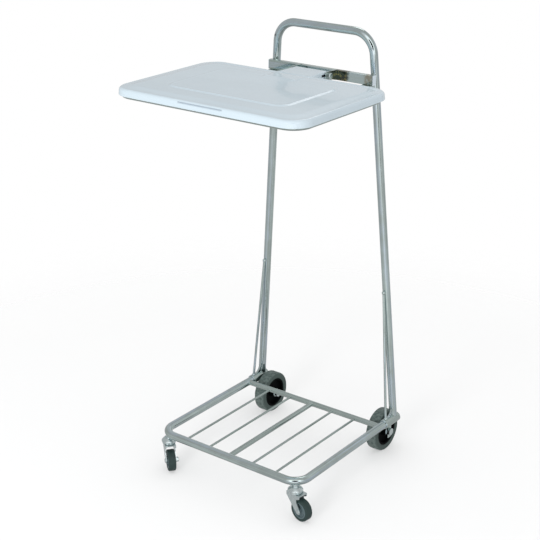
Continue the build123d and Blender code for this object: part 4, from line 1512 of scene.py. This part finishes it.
@dataclass
class Caster:
    """A swivel caster: cap on the stem, pressed fork, small wheel with a ringed hub."""

    side: str
    radius: float = 0.025
    width: float = 0.018
    hub_r: float = 0.0185
    boss_r: float = 0.006
    boss_long: float = 0.0196
    bore_r: float = 0.00305
    shoulder: float = 0.005
    cap_r: float = 0.017
    cap_top: float = 0.0758
    cap_cone: float = 0.0072
    cap_skirt: float = 0.0036
    neck_r: float = 0.0064
    seat_r: float = 0.0080
    web_h: float = 0.0040
    ring_h: float = 0.0056
    ring_r: Pair = (0.0112, 0.0126)
    ring_foot_r: Pair = (0.0105, 0.0132)
    rim_foot_r: Pair = (0.0152, 0.0157)

    def wheel(self, centre: Vector, axis: Vector) -> None:
        """Make the tyre and the hub.

        Args:
            centre: the wheel's centre.
            axis: its axle's direction.
        """
        h, inner, r = self.width / 2, self.hub_r + 0.0001, self.radius
        body = "caster_wheel_" + self.side
        corners = [(inner, -h + 0.0006), (r, -h), (r, h), (inner, h - 0.0006)]
        radii = [0.0004, self.shoulder, self.shoulder, 0.0004]
        skin = Skin()
        skin.revolve(centre, axis, round_corners(corners, radii, 9)[::-1], 112)
        tyre, hub = f"caster_wheel_tyre_{self.side}", f"caster_wheel_hub_{self.side}"
        skin.build(tyre, body, CASTER_RUBBER, ["caster_tyre_" + self.side], 60)
        face = h - 0.0010
        half = [
            (self.bore_r, self.boss_long / 2), (self.boss_r, self.boss_long / 2),
            (self.boss_r + 0.0004, 0.0046), (self.ring_foot_r[0], self.web_h),
            (self.ring_r[0], self.ring_h), (self.ring_r[1], self.ring_h),
            (self.ring_foot_r[1], self.web_h), (self.rim_foot_r[0], self.web_h),
            (self.rim_foot_r[1], face), (self.hub_r, face),
        ]
        corners = half + [(a, -z) for a, z in reversed(half)]
        radii = [0.0002, 0.0006, 0.0006, 0.0004, 0.0005, 0.0005, 0.0004, 0.0006, 0.0006, 0.0005]
        skin = Skin()
        skin.revolve(centre, axis, round_corners(corners, radii + radii[::-1], 4), 112)
        skin.build(hub, body, CASTER_NYLON, ["caster_hub_" + self.side], 45)

    def cap(self, foot: Vector) -> None:
        """Make the cap: seat ring round the neck, cone, rolled rim and skirt.

        Args:
            foot: a point on the swivel's axis.
        """
        base = Vector((foot.x, foot.y, self.cap_top))
        cone, skirt, thick = self.cap_cone, self.cap_skirt, 0.0013
        outer = [
            (self.neck_r - 0.001, 0.0), (self.seat_r, 0.0), (self.seat_r + 0.0004, -0.0022),
            (self.seat_r + 0.0016, -0.0023), (self.seat_r + 0.0024, -0.0012),
            (self.cap_r - 0.0012, -cone + 0.0006), (self.cap_r, -cone - 0.0010),
            (self.cap_r, -cone - skirt), (self.cap_r - thick, -cone - skirt),
            (self.cap_r - thick, -cone), (self.seat_r - 0.001, -0.0026),
            (self.neck_r - 0.001, -0.0026),
        ]
        radii = [
            0.0002, 0.0005, 0.0003, 0.0003, 0.0006, 0.0022,
            0.0010, 0.0006, 0.0006, 0.0010, 0.0006, 0.0002,
        ]
        skin = Skin()
        skin.revolve(base, Z_AXIS, round_corners(outer, radii, 5), 96)
        skin.build(f"caster_top_cap_{self.side}", "frame", ZINC, ["caster_cap_" + self.side], 45)

    def make(self) -> None:
        """Make the caster's looks and dress its CAD pieces."""
        swivel = joint_named(f"caster_{self.side}_swivel")
        spin = joint_named(f"caster_wheel_{self.side}_spin")
        self.cap(Vector(swivel["pos_m"]))
        self.wheel(Vector(spin["pos_m"]), Vector(spin["axis"]).normalized())
        dress("caster_fork_" + self.side, ZINC, 0.6 * MM)
        dress("caster_axle_" + self.side, BOLT_STEEL, 0.2 * MM)
        dress("caster_nut_" + self.side, BOLT_STEEL, 0.3 * MM)
        dress("caster_bush_" + self.side, DARK_STEEL)
        dress("caster_stem_" + self.side, DARK_STEEL)


@dataclass
class Studio:
    """Camera, pale floor, soft lamps and the bright room that the chrome mirrors."""

    eye: Triple = (1.5988, -2.1298, 1.5238)
    look: Triple = (-0.5622, 0.7417, -0.3658)
    lens: float = 86.48
    sensor: float = 36.0
    floor_size: float = 60.0
    white: Triple = (0.985, 0.985, 0.985)
    near: float = 0.75
    far: float = 1.6
    clear: float = 0.38
    ambient: float = 0.86
    room: float = 0.50
    # Each panel: its direction, the closeness at which it starts and is full, its strength
    panels: tuple[tuple[Triple, float, float, float], ...] = field(
        default_factory=lambda: (
            ((-0.20, 0.96, 0.05), 0.80, 0.98, 0.18),
            ((0.18, -0.93, -0.32), 0.75, 0.97, 0.13),
            ((0.50, 0.72, 0.42), 0.86, 0.98, 0.10),
            ((0.10, 0.10, -0.99), 0.60, 0.92, -0.12),
            ((0.93, -0.20, -0.29), 0.930, 0.985, 0.15),
            ((0.845, -0.515, -0.13), 0.989, 0.997, -0.85),
            ((0.56, -0.74, 0.37), 0.640, 0.800, 0.34),
            ((0.56, -0.74, 0.37), 0.820, 0.880, 0.65),
            ((0.56, -0.74, 0.37), 0.945, 0.965, -1.60),
        )
    )

    def camera(self) -> None:
        """Make the camera at the photograph's viewpoint."""
        data = bpy.data.cameras.new("camera")
        data.lens = self.lens
        data.sensor_width = self.sensor
        data.clip_end = 200
        camera = bpy.data.objects.new("camera", data)
        bpy.context.scene.collection.objects.link(camera)
        camera.location = self.eye
        camera.rotation_mode = "QUATERNION"
        camera.rotation_quaternion = Vector(self.look).to_track_quat("-Z", "Y")
        bpy.context.scene.camera = camera

    def floor(self) -> None:
        """Make the floor, which shows in the view and lights the stand from below."""
        half = self.floor_size / 2
        mesh = bpy.data.meshes.new("floor")
        mesh.from_pydata(
            [(-half, -half, 0), (half, -half, 0), (half, half, 0), (-half, half, 0)],
            [],
            [(0, 1, 2, 3)],
        )
        floor = bpy.data.objects.new("floor", mesh)
        bpy.context.scene.collection.objects.link(floor)
        material = bpy.data.materials.new("floor")
        material.use_nodes = True
        surface = Surface(material.node_tree)
        spot = surface.even(Grain.SOLID)
        paper = surface.noise(spot, 3.0)
        shader = surface.node(
            "ShaderNodeBsdfPrincipled",
            None,
            {
                "Base Color": surface.blend(paper, self.white, (0.975, 0.978, 0.98)),
                "Roughness": 0.9,
                "Specular IOR Level": 0.0,
            },
        )
        clear = surface.node("ShaderNodeBsdfTransparent")
        away = surface.off_axis(spot).rise(self.near, self.far) * (1 - self.clear) + self.clear
        mixed = surface.node(
            "ShaderNodeMixShader", None, {0: away, 1: shader.outputs[0], 2: clear.outputs[0]}
        )
        surface.node("ShaderNodeOutputMaterial", None, {"Surface": mixed.outputs[0]})
        mesh.materials.append(material)
        floor.visible_glossy = False

    def lamp(
        self, name: str, place: Triple, size: float, power: float, aim: Triple, seen: bool = False
    ) -> None:
        """Make one soft lamp.

        Args:
            name: its name.
            place: where it stands.
            size: its width.
            power: its power in watts.
            aim: the point it faces.
            seen: whether bright surfaces mirror it.
        """
        data = bpy.data.lights.new(name, "AREA")
        data.shape = "DISK"
        data.size = size
        data.energy = power
        lamp = bpy.data.objects.new(name, data)
        bpy.context.scene.collection.objects.link(lamp)
        lamp.location = place
        lamp.rotation_mode = "QUATERNION"
        lamp.rotation_quaternion = (Vector(aim) - Vector(place)).to_track_quat("-Z", "Y")
        lamp.visible_glossy = seen

    def world(self) -> None:
        """Make the room: even light, white behind the stand, and soft panels in the chrome."""
        world = bpy.data.worlds.new("room")
        bpy.context.scene.world = world
        world.use_nodes = True
        surface = Surface(world.node_tree)
        where = surface.node("ShaderNodeTexCoord").outputs["Generated"]
        seen: object = self.room
        for way, start, full, strength in self.panels:
            toward = surface.node(
                "ShaderNodeVectorMath",
                {"operation": "DOT_PRODUCT"},
                {0: where, 1: tuple(Vector(way).normalized())},
            ).outputs["Value"]
            seen = Field(surface, toward).rise(start, full) * strength + seen
        rays = surface.node("ShaderNodeLightPath")
        is_camera = Field(surface, rays.outputs["Is Camera Ray"])
        is_glossy = Field(surface, rays.outputs["Is Glossy Ray"])
        other = (1 - is_camera) * (1 - is_glossy)
        level = is_camera + is_glossy * seen + other * self.ambient
        background = surface.node(
            "ShaderNodeBackground", None, {"Color": (1.0, 1.0, 1.0), "Strength": level}
        )
        surface.node("ShaderNodeOutputWorld", None, {"Surface": background.outputs[0]})

    def make(self) -> None:
        """Make the studio."""
        bpy.context.scene.view_settings.view_transform = "Standard"
        self.camera()
        self.floor()
        self.world()
        self.lamp("key", (0.5, -3.2, 0.98), 1.0, 46.0, (0.0, 0.0, 0.86))
        self.lamp("top", (0.2, 0.2, 3.4), 2.4, 6.0, (0.0, 0.0, 0.4))
        self.lamp("glint", (-0.21, 0.74, 1.64), 0.44, 0.75, (0.15, -0.12, 0.905), seen=True)


def main() -> None:
    """Make the studio and the stand, piece by piece."""
    logging.basicConfig(level=logging.INFO, format="%(message)s")
    parts: list[object] = [Studio(), Tray(), Uprights(), Hinge(), Lid()]
    parts += [RearWheel(name) for name, _ in SIDES]
    parts += [Caster(name) for name, _ in SIDES]
    for part in parts:
        LOG.info("making %s", type(part).__name__)
        part.make()


if __name__ == "__main__":
    main()
